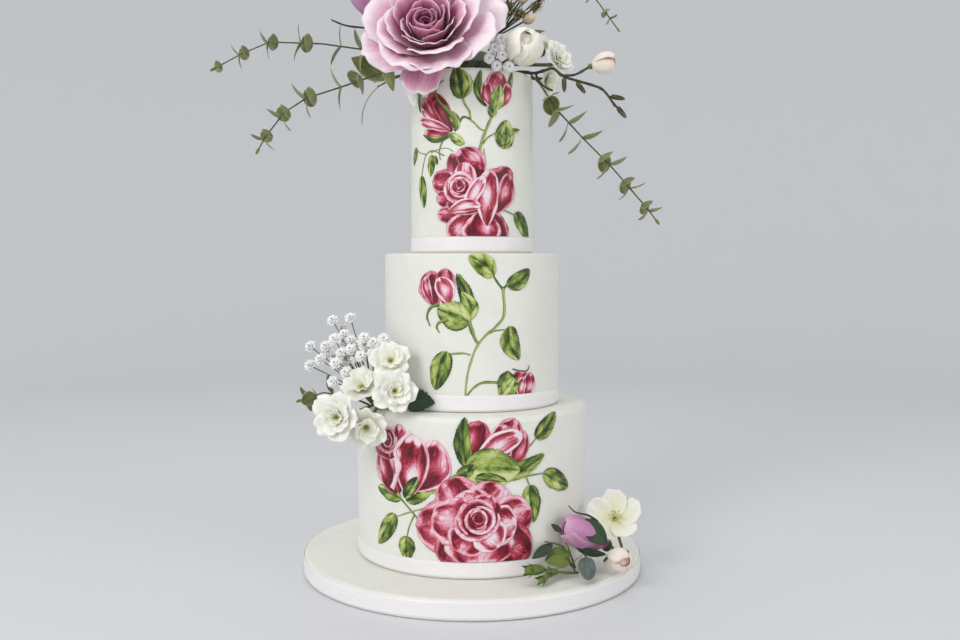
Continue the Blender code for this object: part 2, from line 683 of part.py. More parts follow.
def build_side_group(finishes):
    x, y, z = SIDE_ROOT
    fused("side_mound", [ball(SIDE_ROOT, (7, 7, 8), detail=2, flat=True)], finishes["leaf"])
    blossoms = [
        ("side_blossom_right", DOUBLE_BLOSSOM, (-63, -90, 169.5), (0.2, -0.95, 0.25), 0.86, 25, ()),
        ("side_blossom_left", DOUBLE_BLOSSOM, (-107, -98, 150), (-0.3, -0.92, 0.1), 0.94, -42, ()),
        ("side_blossom_middle", SINGLE_BLOSSOM, (-91, -68, 168), (-0.15, -0.65, 0.74), 0.85, -75, ()),
        ("side_blossom_upper", SINGLE_BLOSSOM, (-67, -75, 192), (0.05, -0.85, 0.5), 0.8, 62, ()),
        ("side_blossom_lower", SINGLE_BLOSSOM, (-86, -90, 142), (0.1, -0.95, -0.3), 0.86, -8, [(-78, -79, 154)]),
    ]
    for name, kind, origin, direction, scale, azimuth, via in blossoms:
        turn = math.radians(azimuth)
        root = (x + 9.5 * math.sin(turn), y - 9.5 * math.cos(turn), z + 4)
        flower(name, kind, origin, direction, finishes["white"], root, via, scale, azimuth, 1.2)
    fused("side_gypsophila", heads(GYPSOPHILA, 4.9, (-86, -37, 153.9)), finishes["white"])
    sprig("side_eucalyptus", [(-88, -48, 152.5), (-104, -50, 160), (-128, -46, 163), (-150, -40, 155)], 3, (18, 12),
          finishes["sage"], first=0.5)
    lone_leaf("side_leaf", [(-61, -57, 153), (-57, -68, 164)], (0.93, -0.5, 0.0), (0.1, -1, 0.3), finishes["dark"],
              length=30, width=20)


# The flowers on the drum


def build_lower_group(finishes):
    flower("lower_rosebud", ROSEBUD, (114, -68, 36), (-43, -14, 22), finishes["lilac"], (126, -62, 19.5),
           scale=0.9, stem=1.5)
    flower("lower_blossom", CUPPED_BLOSSOM, (125, -42, 51), (-0.1, -0.82, 0.52), finishes["white"], (134, -32, 19.5),
           turn=54, stem=1.3)
    flower("lower_white_bud", ROUND_BUD, (120, -79, 29.6), (0.25, -0.95, 0.02), finishes["cream"], (114, -60, 19.5),
           scale=0.9, stem=1.3)
    lone_leaf("lower_leaf_grey", [(101, -76, 20), (98, -86, 26), (93.5, -89, 34.5)], (-0.05, -0.92, -0.3), (0, -0.4, 0.9),
              finishes["sage"], length=34, width=14.5, droop=-6, blunt=0.5)
    lone_leaf("lower_leaf_green", [(87, -80, 20), (79, -88, 43)], (-0.9, -0.36, -0.2), (0, -0.8, 0.6),
              finishes["leaf"], length=24, width=16, droop=-8)
    lone_leaf("lower_leaf_low", [(86, -88, 20), (79, -95, 34)], (-0.86, -0.5, 0.15), (0, -0.8, 0.6),
              finishes["leaf"], length=26, width=11, droop=-8)
    lone_leaf("lower_leaf_dark", [(84, -76, 20), (77, -82, 38), (61, -88.5, 44.5)], (-0.62, -0.76, -0.25),
              (-0.3, -0.9, 0.3), finishes["dark"], length=31, width=9, droop=-10)
    stem = [(88, -94, 20), (76, -103, 23), (58, -112, 28.5)]
    side = [(72, -105, 24), (62, -116, 23.5)]
    meshes = [
        tube(stem, 1.2, 1.2),
        tube(side, 1.0, 1.0),
        ball((51, -116, 29.5), (6, 6, 11), (-0.7, -0.5, 0.1)),
        ball((58.5, -119, 23.4), (4, 4, 8), (-0.6, -0.7, -0.15)),
        ball((65, -110, 26), (3.5, 3.5, 7), (-0.6, -0.5, 0.1)),
    ]
    fused("lower_green_buds", meshes, finishes["leaf"])


def build_all():
    clear_scene()
    finishes = {
        "icing": material("icing", WHITE_ICING, 0.45),
        "ribbon": material("ribbon", RIBBON_WHITE, 0.3),
        "board": material("board", BOARD_SILVER, 0.4),
        "rose": material("rose", ROSE_PINK, 0.6),
        "lilac": material("lilac", LILAC, 0.6),
        "white": material("white_petal", PETAL_WHITE, 0.6),
        "cream": material("cream_petal", CREAM, 0.6),
        "leaf": material("leaf", LEAF_GREEN, 0.5),
        "sage": material("sage_leaf", SAGE_GREEN, 0.55),
        "dark": material("dark_leaf", DARK_GREEN, 0.5),
        "bronze": material("bronze_leaf", BRONZE_GREEN, 0.6),
    }
    build_cake(finishes)
    build_posy(finishes)
    build_side_group(finishes)
    build_lower_group(finishes)


build_all()
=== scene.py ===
import math
import random

import bmesh
import bpy
from mathutils import Matrix, Vector, noise


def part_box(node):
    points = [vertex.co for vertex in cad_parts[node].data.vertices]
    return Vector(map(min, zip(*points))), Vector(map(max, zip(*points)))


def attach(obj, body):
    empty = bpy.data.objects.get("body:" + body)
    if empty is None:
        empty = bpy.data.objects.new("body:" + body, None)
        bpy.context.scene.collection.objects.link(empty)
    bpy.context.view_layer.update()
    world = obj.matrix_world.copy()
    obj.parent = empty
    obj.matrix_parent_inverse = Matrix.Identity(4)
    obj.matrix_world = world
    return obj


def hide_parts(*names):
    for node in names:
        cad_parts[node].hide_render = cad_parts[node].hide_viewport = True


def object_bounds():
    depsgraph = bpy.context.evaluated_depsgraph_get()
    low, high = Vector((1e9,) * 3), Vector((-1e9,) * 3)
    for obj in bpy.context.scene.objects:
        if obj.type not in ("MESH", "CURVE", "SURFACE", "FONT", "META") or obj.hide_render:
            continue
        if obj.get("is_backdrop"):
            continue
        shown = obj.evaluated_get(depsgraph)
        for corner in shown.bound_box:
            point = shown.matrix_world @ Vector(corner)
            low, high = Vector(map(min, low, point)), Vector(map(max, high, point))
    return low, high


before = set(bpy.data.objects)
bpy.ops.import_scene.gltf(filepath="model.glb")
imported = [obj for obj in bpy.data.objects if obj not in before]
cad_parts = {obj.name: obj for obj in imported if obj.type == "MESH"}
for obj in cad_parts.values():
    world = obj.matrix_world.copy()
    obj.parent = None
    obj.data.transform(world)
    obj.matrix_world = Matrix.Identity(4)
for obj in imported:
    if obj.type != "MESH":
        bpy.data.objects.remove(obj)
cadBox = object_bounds()
scene = bpy.context.scene
scene.view_settings.view_transform = "Standard"
mm = 0.001


# Making meshes


def startMesh():
    bm = bmesh.new()
    bm.verts.layers.float.new("tone")  # 0 deep to 1 pale, read by the materials
    bm.loops.layers.uv.new("UVMap")
    return bm


def addSheet(bm, columns, rows, rule, place, tone=None):
    # a grid bent by rule(across -1..1, along 0..1), in millimetres of its own frame
    toneLayer = bm.verts.layers.float["tone"]
    made = bmesh.ops.create_grid(bm, x_segments=columns, y_segments=rows, size=1.0, calc_uvs=True)["verts"]
    for vertex in made:
        across, along = vertex.co.x, (vertex.co.y + 1) / 2
        vertex[toneLayer] = tone(across, along) if tone else 0.5
        vertex.co = place @ rule(across, along)
    bmesh.ops.remove_doubles(bm, verts=made, dist=0.01 * mm)


def addBall(bm, place, size, tone=None, segments=12, rings=8):
    toneLayer = bm.verts.layers.float["tone"]
    ball = {"u_segments": segments, "v_segments": rings, "radius": 1.0, "calc_uvs": True}
    made = bmesh.ops.create_uvsphere(bm, **ball)["verts"]
    for vertex in made:
        vertex[toneLayer] = tone(vertex.co.z) if tone else 0.5
    bmesh.ops.transform(bm, matrix=place @ Matrix.Diagonal((*size, 1)), verts=made)


def smoothLine(points, steps=4):
    # a smooth curve through the points
    known = [Vector(point) for point in points]
    ends = [2 * known[0] - known[1], *known, 2 * known[-1] - known[-2]]
    found = []
    for before, here, after, beyond in zip(ends, ends[1:], ends[2:], ends[3:]):
        for step in range(steps):
            share = step / steps
            straight = 2 * here + (after - before) * share
            bend = (2 * before - 5 * here + 4 * after - beyond) * share**2
            twist = (3 * here - before - 3 * after + beyond) * share**3
            found.append(0.5 * (straight + bend + twist))
    return [*found, known[-1]]


def alongLine(points, share):
    # the point and the direction at a share of a line's length
    lengths = [(after - before).length for before, after in zip(points, points[1:])]
    left = share * sum(lengths)
    for before, after, length in zip(points, points[1:], lengths):
        if left <= length:
            return before.lerp(after, left / length), (after - before).normalized()
        left -= length
    return points[-1], (points[-1] - points[-2]).normalized()


def addTube(bm, points, thick, thin, sides=8, steps=4, tone=0.5, knots=0.0):
    # a round stem along a smooth line, closed at both ends
    line = smoothLine(points, steps)
    last = len(line) - 1
    side = Vector((0.31, 0.17, 1.0))
    rings = []
    for number, spot in enumerate(line):
        forward = (line[min(number + 1, last)] - line[max(number - 1, 0)]).normalized()
        side = (side - forward * side.dot(forward)).normalized()
        rings.append((spot, side, forward.cross(side)))

    def rule(across, along):
        row = round(along * (last + 2)) - 1
        spot, right, up = rings[min(max(row, 0), last)]
        radius = 0 if row < 0 or row > last else thick + (thin - thick) * row / last
        radius *= 1 + knots * max(0, math.sin(row * 2.4)) ** 4
        turn = across * math.pi
        return spot + (right * math.cos(turn) + up * math.sin(turn)) * radius

    addSheet(bm, sides, last + 2, rule, Matrix.Scale(mm, 4), lambda across, along: tone)


def spinProfile(bm, profile, steps=160):
    # turns a profile that runs from axis to axis
    points = [bm.verts.new((radius, 0, height)) for radius, height in profile]
    edges = [bm.edges.new(pair) for pair in zip(points, points[1:])]
    turn = {"axis": (0, 0, 1), "cent": (0, 0, 0), "angle": math.tau, "steps": steps, "use_merge": True}
    bmesh.ops.spin(bm, geom=points + edges, **turn)
    bmesh.ops.remove_doubles(bm, verts=bm.verts[:], dist=0.01 * mm)
    bmesh.ops.recalc_face_normals(bm, faces=bm.faces[:])


def addObject(bm, name, finish):
    mesh = bpy.data.meshes.new(name)
    bm.to_mesh(mesh)
    bm.free()
    mesh.shade_smooth()
    mesh.materials.append(finish)
    thing = bpy.data.objects.new(name, mesh)
    scene.collection.objects.link(thing)
    return thing


def addPiece(bm, name, finish, nodes=(), slot=None, thickness=0.0, sharp=None):
    piece = addObject(bm, name, finish)
    if sharp:
        piece.data.set_sharp_from_angle(angle=math.radians(sharp))
    if thickness:
        wall = piece.modifiers.new("wall", "SOLIDIFY")
        wall.thickness = thickness * mm
        wall.offset = 0.0
    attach(piece, "root")
    if nodes:
        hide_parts(*nodes)


def addPart(bm, node, part, finish, slot, thickness=0.0):
    # a piece that stands for one node and is named after it
    addPiece(bm, node.replace("_", "-") + "-" + part, finish, [node], slot, thickness)


def aim(origin, direction, facing=(0, 0, 1)):
    # from millimetres in a piece's own frame: +Z along direction, +Y towards facing
    along = Vector(direction).normalized()
    across = Vector(facing).cross(along)
    if across.length < 0.05:
        across = Vector((1, 0.3, 0)).cross(along)
    across.normalize()
    turn = Matrix((across, along.cross(across), along)).transposed().to_4x4()
    return Matrix.Translation(Vector(origin) * mm) @ turn @ Matrix.Scale(mm, 4)


def spun(degrees):
    return Matrix.Rotation(math.radians(degrees), 4, "Z")


def shifted(*steps):
    return Matrix.Translation(steps)


def clamp(value):
    return min(1.0, max(0.0, value))


# Making materials


def rgb(red, green, blue):
    # a screen colour, 0 to 255, in Blender's linear values
    shares = [level / 255 for level in (red, green, blue)]
    return (*[((share + 0.055) / 1.055) ** 2.4 if share > 0.04 else share / 12.92 for share in shares], 1.0)


def addNode(tree, kind, inputs=None, **settings):
    node = tree.nodes.new("ShaderNode" + kind)
    for name, value in settings.items():
        setattr(node, name, value)
    for key, value in (inputs or {}).items():
        if isinstance(value, bpy.types.NodeSocket):
            tree.links.new(value, node.inputs[key])
        else:
            node.inputs[key].default_value = value
    return node.outputs


def addRamp(tree, factor, stops):
    # each stop is a spot from 0 to 1 and a screen colour
    outputs = addNode(tree, "ValToRGB", {"Fac": factor})
    elements = outputs["Color"].node.color_ramp.elements
    for number, (spot, *colour) in enumerate(stops):
        element = elements[number] if number < 2 else elements.new(spot)
        element.position = spot
        element.color = rgb(*colour)
    return outputs["Color"]


def addMath(tree, operation, first, second=0.5, third=0.5):
    return addNode(tree, "Math", {0: first, 1: second, 2: third}, operation=operation)[0]


def scaled(tree, value, factor, offset):
    return addMath(tree, "MULTIPLY_ADD", value, factor, offset)


def addRange(tree, value, low, high, bottom=0.0, top=1.0):
    limits = {"Value": value, "From Min": low, "From Max": high, "To Min": bottom, "To Max": top}
    return addNode(tree, "MapRange", limits)[0]


def addNoise(tree, vector, scale, detail, roughness=0.5):
    inputs = {"Vector": vector, "Scale": scale, "Detail": detail, "Roughness": roughness}
    return addNode(tree, "TexNoise", inputs)["Fac"]


def addMix(tree, factor, share, first, second):
    # share of the factor turns the first colour into the second
    inputs = {"Factor": addMath(tree, "MULTIPLY", factor, share), 6: first, 7: rgb(*second)}
    return addNode(tree, "Mix", inputs, data_type="RGBA")[2]


def newGroup(name, inputs, outputs):
    tree = bpy.data.node_groups.new(name, "ShaderNodeTree")
    for label, value in inputs.items():
        tree.interface.new_socket(label, in_out="INPUT", socket_type="NodeSocketFloat").default_value = value
    for label in outputs:
        tree.interface.new_socket(label, in_out="OUTPUT", socket_type="NodeSocketFloat")
    start = tree.nodes.new("NodeGroupInput")
    end = tree.nodes.new("NodeGroupOutput")
    return tree, start.outputs, end.inputs


def useGroup(tree, group, **values):
    node = tree.nodes.new("ShaderNodeGroup")
    node.node_tree = group
    for label, value in values.items():
        node.inputs[label].default_value = value
    return node.outputs[0]


def newMaterial(name, roughness=0.5, **settings):
    made = bpy.data.materials.new(name)
    made.use_nodes = True
    shader = made.node_tree.nodes["Principled BSDF"].inputs
    shader["Roughness"].default_value = roughness
    for label, value in settings.items():
        shader[label.replace("_", " ")].default_value = value
    return made, made.node_tree, shader


def dress(tree, shader, colour, roughness, height, strength, distance):
    # joins a colour, a roughness if there is one, and a bump of distance in millimetres
    tree.links.new(colour, shader["Base Color"])
    if roughness:
        tree.links.new(roughness, shader["Roughness"])
    bump = {"Height": height, "Strength": strength, "Distance": distance * mm}
    tree.links.new(addNode(tree, "Bump", bump)["Normal"], shader["Normal"])


def objectSpace(tree):
    return addNode(tree, "TexCoord")["Object"]


def sheetSpace(tree):
    return addNode(tree, "SeparateXYZ", {0: addNode(tree, "UVMap")[0]})


def varied(tree, cloud, amount):
    # the piece's own tone, shifted by a noise round 0.5
    tone = addNode(tree, "Attribute", attribute_name="tone")["Fac"]
    return scaled(tree, addMath(tree, "SUBTRACT", cloud, 0.5), amount, tone)


def mottleGroup():
    # cloudy noise in the piece's own space, millimetres in, 0 to 1 out
    tree, start, end = newGroup("mottle", {"Size": 10.0}, ["Cloud"])
    scale = addMath(tree, "DIVIDE", 1000.0, start["Size"])
    placed = addNode(tree, "VectorMath", {0: objectSpace(tree), "Scale": scale}, operation="SCALE")[0]
    tree.links.new(addNoise(tree, placed, 1.0, 3.0, 0.6), end["Cloud"])
    return tree


def strokeGroup():
    # streaks that run along a sheet, from its UV map
    tree, start, end = newGroup("strokes", {"Across": 20.0, "Along": 3.0, "Wander": 0.15}, ["Streak"])
    parts = sheetSpace(tree)
    drift = addNoise(tree, objectSpace(tree), 90.0, 2.0)
    across = addMath(tree, "MULTIPLY", scaled(tree, drift, start["Wander"], parts["X"]), start["Across"])
    along = addMath(tree, "MULTIPLY", parts["Y"], start["Along"])
    depth = addMath(tree, "MULTIPLY", drift, 6.0)
    placed = addNode(tree, "CombineXYZ", {"X": across, "Y": along, "Z": depth})[0]
    tree.links.new(addNoise(tree, placed, 1.0, 2.5, 0.55), end["Streak"])
    return tree


def weaveGroup():
    # fine crossed threads from the UV map
    tree, start, end = newGroup("weave", {"Threads": 60.0}, ["Thread"])
    parts = sheetSpace(tree)
    angle = addMath(tree, "MULTIPLY", start["Threads"], math.tau)
    warp, weft = (addMath(tree, "SINE", addMath(tree, "MULTIPLY", parts[axis], angle)) for axis in "XY")
    tree.links.new(scaled(tree, addMath(tree, "MULTIPLY", warp, weft), 0.5, 0.5), end["Thread"])
    return tree


def veinGroup():
    # a leaf's midrib and side veins, and its rim, from its UV map
    tree, start, end = newGroup("veins", {"Veins": 7.0, "Slant": 0.35}, ["Vein", "Rim"])
    parts = sheetSpace(tree)
    off = addMath(tree, "ABSOLUTE", scaled(tree, parts["X"], 2.0, -1.0))
    slanted = addMath(tree, "SUBTRACT", parts["Y"], addMath(tree, "MULTIPLY", off, start["Slant"]))
    wave = addMath(tree, "PINGPONG", addMath(tree, "MULTIPLY", slanted, start["Veins"]), 0.5)
    midrib = addRange(tree, off, 0.02, 0.09, 1.0, 0.0)
    side = addRange(tree, wave, 0.02, 0.11, 0.6, 0.0)
    tree.links.new(addMath(tree, "MAXIMUM", midrib, side), end["Vein"])
    tree.links.new(addRange(tree, off, 0.82, 1.0), end["Rim"])
    return tree


mottle = mottleGroup()
strokes = strokeGroup()
weave = weaveGroup()
veins = veinGroup()


def icingFinish():
    made, tree, shader = newMaterial("fondant", Specular_IOR_Level=0.38, Sheen_Weight=0.05)
    lump, grain = (useGroup(tree, mottle, Size=size) for size in (22.0, 1.6))
    colour = addRamp(tree, lump, [(0.35, 234, 234, 224), (0.62, 238, 238, 229)])
    dress(tree, shader, colour, scaled(tree, lump, 0.16, 0.34), scaled(tree, grain, 0.22, lump), 0.25, 0.35)
    return made


def ribbonFinish():
    # satin: fine threads that run along the ribbon, with a faint sheen
    made, tree, shader = newMaterial("satinRibbon", Sheen_Weight=0.2, Specular_IOR_Level=0.5)
    thread = useGroup(tree, strokes, Across=9.0, Along=46.0, Wander=0.02)
    colour = addRamp(tree, thread, [(0.3, 240, 236, 235), (0.6, 250, 247, 246)])
    dress(tree, shader, colour, scaled(tree, thread, 0.25, 0.2), thread, 0.3, 0.08)
    return made


def foilFinish():
    made, tree, shader = newMaterial("foil", 0.35, Metallic=0.85)
    cloud = useGroup(tree, mottle, Size=3.0)
    colour = addRamp(tree, cloud, [(0.3, 190, 192, 196), (0.7, 225, 226, 229)])
    dress(tree, shader, colour, None, cloud, 0.4, 0.2)
    return made


def petalFinish(name, stops, cloth=40.0, wrinkle=0.35):
    # dyed silk: the tone runs through the stops, with faint streaks and a woven surface
    made, tree, shader = newMaterial(name, Sheen_Weight=0.3, Specular_IOR_Level=0.25)
    streak = useGroup(tree, strokes, Across=16.0, Along=2.2)
    colour = addRamp(tree, varied(tree, streak, 0.3), stops)
    height = scaled(tree, useGroup(tree, weave, Threads=cloth), 0.12, streak)
    dress(tree, shader, colour, scaled(tree, streak, 0.25, 0.5), height, wrinkle, 0.8)
    return made


def leafFinish(name, dark, light, vein, rim, roughness=0.33):
    made, tree, shader = newMaterial(name, Specular_IOR_Level=0.4, Sheen_Weight=0.1)
    cloud = useGroup(tree, mottle, Size=6.0)
    lines = useGroup(tree, veins).node.outputs
    colour = addRamp(tree, varied(tree, cloud, 0.9), [(0.2, *dark), (0.8, *light)])
    colour = addMix(tree, lines["Vein"], 0.55, colour, vein)
    colour = addMix(tree, lines["Rim"], 0.8, colour, rim)
    height = scaled(tree, cloud, 0.6, lines["Vein"])
    dress(tree, shader, colour, scaled(tree, cloud, 0.3, roughness), height, 0.4, 0.4)
    return made


def stemFinish(name, dark, light, roughness=0.5):
    made, tree, shader = newMaterial(name, roughness, Specular_IOR_Level=0.4)
    cloud = useGroup(tree, mottle, Size=3.0)
    colour = addRamp(tree, varied(tree, cloud, 1.2), [(0.25, *dark), (0.75, *light)])
    dress(tree, shader, colour, None, cloud, 0.5, 0.4)
    return made


def paintFinish(name, stops):
    # food colour brushed on: the tone runs through the stops, broken by brush strokes
    made, tree, shader = newMaterial(name, Specular_IOR_Level=0.45)
    broad = useGroup(tree, strokes, Across=11.0, Along=2.0, Wander=0.5)
    fine = useGroup(tree, strokes, Across=30.0, Along=4.5, Wander=0.8)
    both = addMath(tree, "ADD", broad, addMath(tree, "SUBTRACT", fine, 0.5))
    colour = addRamp(tree, varied(tree, both, 0.8), stops)
    dress(tree, shader, colour, scaled(tree, fine, 0.35, 0.2), fine, 0.5, 0.25)
    return made


icing = icingFinish()
satin = ribbonFinish()
foil = foilFinish()
rosePetal = petalFinish("rosePetal", [(0.0, 110, 22, 64), (0.3, 176, 78, 122), (0.55, 212, 138, 170),
                                      (0.78, 236, 192, 210), (1.0, 250, 234, 240)], 55.0)
lilacPetal = petalFinish("lilacPetal", [(0.0, 92, 14, 66), (0.3, 158, 82, 134), (0.6, 200, 144, 182),
                                        (1.0, 228, 190, 214)], 55.0)
whitePetal = petalFinish("whitePetal", [(0.0, 198, 206, 132), (0.25, 234, 236, 204), (0.6, 246, 246, 232),
                                        (1.0, 254, 253, 247)])
creamPetal = petalFinish("creamPetal", [(0.0, 190, 190, 130), (0.3, 230, 224, 196), (0.7, 244, 239, 224),
                                        (1.0, 252, 248, 240)])
blushPetal = petalFinish("blushPetal", [(0.0, 190, 184, 120), (0.25, 238, 226, 208), (0.7, 246, 232, 222),
                                        (1.0, 240, 200, 186)])
smallPetal = petalFinish("smallPetal", [(0.0, 240, 242, 232), (1.0, 254, 254, 254)], 8.0, 0.1)
eucalyptus = leafFinish("eucalyptus", (90, 100, 52), (140, 148, 92), (162, 166, 112), (186, 186, 138))
deepLeaf = leafFinish("deepLeaf", (24, 44, 28), (52, 76, 46), (80, 100, 68), (42, 58, 36))
greenLeaf = leafFinish("greenLeaf", (44, 66, 20), (104, 124, 48), (140, 154, 78), (124, 138, 62))
greyLeaf = leafFinish("greyLeaf", (62, 78, 74), (100, 116, 108), (128, 142, 132), (96, 110, 100), 0.63)
paleLeaf = leafFinish("paleLeaf", (214, 220, 206), (238, 240, 232), (196, 206, 180), (240, 242, 236))
bronzeLeaf = leafFinish("bronzeLeaf", (92, 66, 34), (140, 110, 62), (162, 132, 84), (120, 60, 34))
greenStem = stemFinish("greenStem", (60, 76, 34), (118, 128, 72))
brownStem = stemFinish("brownStem", (40, 42, 28), (72, 72, 46))
oliveBud = stemFinish("oliveBud", (58, 60, 34), (104, 104, 60))
stamen = stemFinish("stamen", (150, 158, 40), (216, 208, 96))
seedDot = stemFinish("seedDot", (112, 116, 84), (172, 172, 130))
driedHead = stemFinish("driedHead", (70, 62, 36), (158, 146, 104), 0.85)
seedHead = stemFinish("seedHead", (176, 158, 120), (216, 202, 168), 0.7)
rosePaint = paintFinish("rosePaint", [(0.0, 84, 2, 20), (0.25, 150, 18, 46), (0.5, 200, 82, 106),
                                      (0.74, 232, 166, 184), (1.0, 244, 226, 232)])
leafPaint = paintFinish("leafPaint", [(0.0, 34, 52, 20), (0.33, 90, 116, 40), (0.62, 158, 176, 82),
                                      (1.0, 212, 218, 154)])
print("materials made")


# The stage: a seamless floor, soft light and the camera


def buildStage():
    flat, curve, top, steps = 1500 * mm, 900 * mm, 2600 * mm, 12
    profile = [(0, 0), (flat, 0)]
    for step in range(1, steps + 1):
        angle = step / steps * math.pi / 2
        profile.append((flat + curve * math.sin(angle), curve * (1 - math.cos(angle))))
    profile.append((profile[-1][0], top))
    bm = startMesh()
    spinProfile(bm, profile, 96)
    bmesh.ops.reverse_faces(bm, faces=bm.faces[:])
    made, tree, shader = newMaterial("floorPaint", 0.6)
    shader["Base Color"].default_value = rgb(219, 220, 222)
    addObject(bm, "floor", made)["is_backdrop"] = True


def addLamp(name, spot, target, size, power, colour):
    lamp = bpy.data.lights.new(name, "AREA")
    lamp.shape = "DISK"
    lamp.size = size
    lamp.energy = power
    lamp.color = colour
    thing = bpy.data.objects.new(name, lamp)
    thing.location = spot
    thing.rotation_euler = (Vector(target) - Vector(spot)).to_track_quat("-Z", "Y").to_euler()
    scene.collection.objects.link(thing)


def buildLight():
    world = bpy.data.worlds.new("softRoom")
    world.use_nodes = True
    shade = world.node_tree.nodes["Background"].inputs
    shade["Color"].default_value = rgb(227, 229, 231)
    shade["Strength"].default_value = 0.85
    scene.world = world
    addLamp("windowLight", (-1.25, -1.8, 1.3), (0, 0, 0.25), 1.1, 21, (1.0, 0.99, 0.98))
    addLamp("fillLight", (1.5, -1.0, 0.9), (0, 0, 0.25), 1.0, 5.5, (1.0, 0.99, 0.97))
    addLamp("topLight", (-0.3, 0.1, 2.3), (0, 0, 0.2), 1.4, 8, (1.0, 1.0, 1.0))


def buildCamera():
    tilt = 3.33
    lens = bpy.data.cameras.new("camera")
    lens.lens = 37.11
    lens.sensor_width = 36
    camera = bpy.data.objects.new("camera", lens)
    camera.location = Vector((7.3, -895.6, 275.2)) * mm
    camera.rotation_euler = (math.radians(90 - tilt), 0, 0)
    scene.collection.objects.link(camera)
    scene.camera = camera


buildStage()
buildLight()
buildCamera()
print("stage set")


# The cake: drum, tiers and ribbons

tierEdges = {"bottom": 5.5, "middle": 2.2, "top": 3.5}  # the icing's rounded edges, mm


def uneven(turn, height):
    # how far hand-smoothed icing strays from true, in metres
    return (0.10 * math.sin(2 * turn + 22 * height) + 0.07 * math.sin(5 * turn - 31 * height)) * mm


def strayed(bm):
    for vertex in bm.verts:
        reach = math.hypot(vertex.co.x, vertex.co.y)
        if reach > 0.03:
            share = 1 + uneven(math.atan2(vertex.co.x, -vertex.co.y), vertex.co.z) / reach
            vertex.co.x *= share
            vertex.co.y *= share


def buildIced(node, part, edge, rows=10):
    # an iced round: a small foot, a wall in rows, a rounded edge and a flat top
    low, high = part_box(node)
    radius, bottom, top = high.x, low.z, high.z
    foot = 0.8 * mm
    edge *= mm
    profile = [(0, bottom), (radius * 0.6, bottom), (radius - foot, bottom),
               (radius - foot * 0.3, bottom + foot * 0.3)]
    for row in range(rows):
        profile.append((radius, bottom + foot + (top - edge - bottom - foot) * row / rows))
    for step in range(9):
        angle = step / 8 * math.pi / 2
        profile.append((radius - edge + edge * math.cos(angle), top - edge + edge * math.sin(angle)))
    for share in (0.75, 0.5, 0.25, 0):
        profile.append((radius * share, top))
    bm = startMesh()
    spinProfile(bm, profile)
    strayed(bm)
    addPiece(bm, part, icing, [node], "icing")


def buildRibbon(node):
    thick, clear, overlap = 0.28, 0.12, 16
    low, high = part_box(node)
    radius = high.x - 0.8 * mm  # the wall that it is wrapped on
    bm = startMesh()

    def wrap(first, span, lift, columns):
        def rule(across, along):
            turn = math.pi + first + span * (across + 1) / 2
            height = low.z + (high.z - low.z) * along
            reach = radius + (clear + lift) * mm + uneven(turn, height)
            return Vector((reach * math.sin(turn), -reach * math.cos(turn), height))

        addSheet(bm, columns, 6, rule, Matrix.Identity(4))

    wrap(0, math.tau, 0.14, 192)
    wrap(-0.03, overlap * mm / radius, 0.45, 10)  # the glued end, at the back
    addPart(bm, node, "satin", satin, "ribbon", thick)


def buildBoard():
    low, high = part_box("cake_drum")
    edge = 0.6 * mm
    bm = startMesh()
    spinProfile(bm, [(0, low.z), (high.x - edge, low.z), (high.x, low.z + edge), (high.x, high.z - edge),
                     (high.x - edge, high.z), (0, high.z)])
    addPiece(bm, "drum-board", foil, ["cake_drum"], "board")


buildBoard()
buildIced("drum_icing", "drum-fondant", 3.0, 2)
for tier, edge in tierEdges.items():
    buildIced(tier + "_tier", tier + "-tier-icing", edge)
for band in ("drum", *tierEdges):
    buildRibbon(band + "_ribbon")
print("cake made")


# The painted roses: thin brushed patches on the tiers' sides. Places are pairs of side and height in
# millimetres: side is measured round the wall from the front, and height from the table.


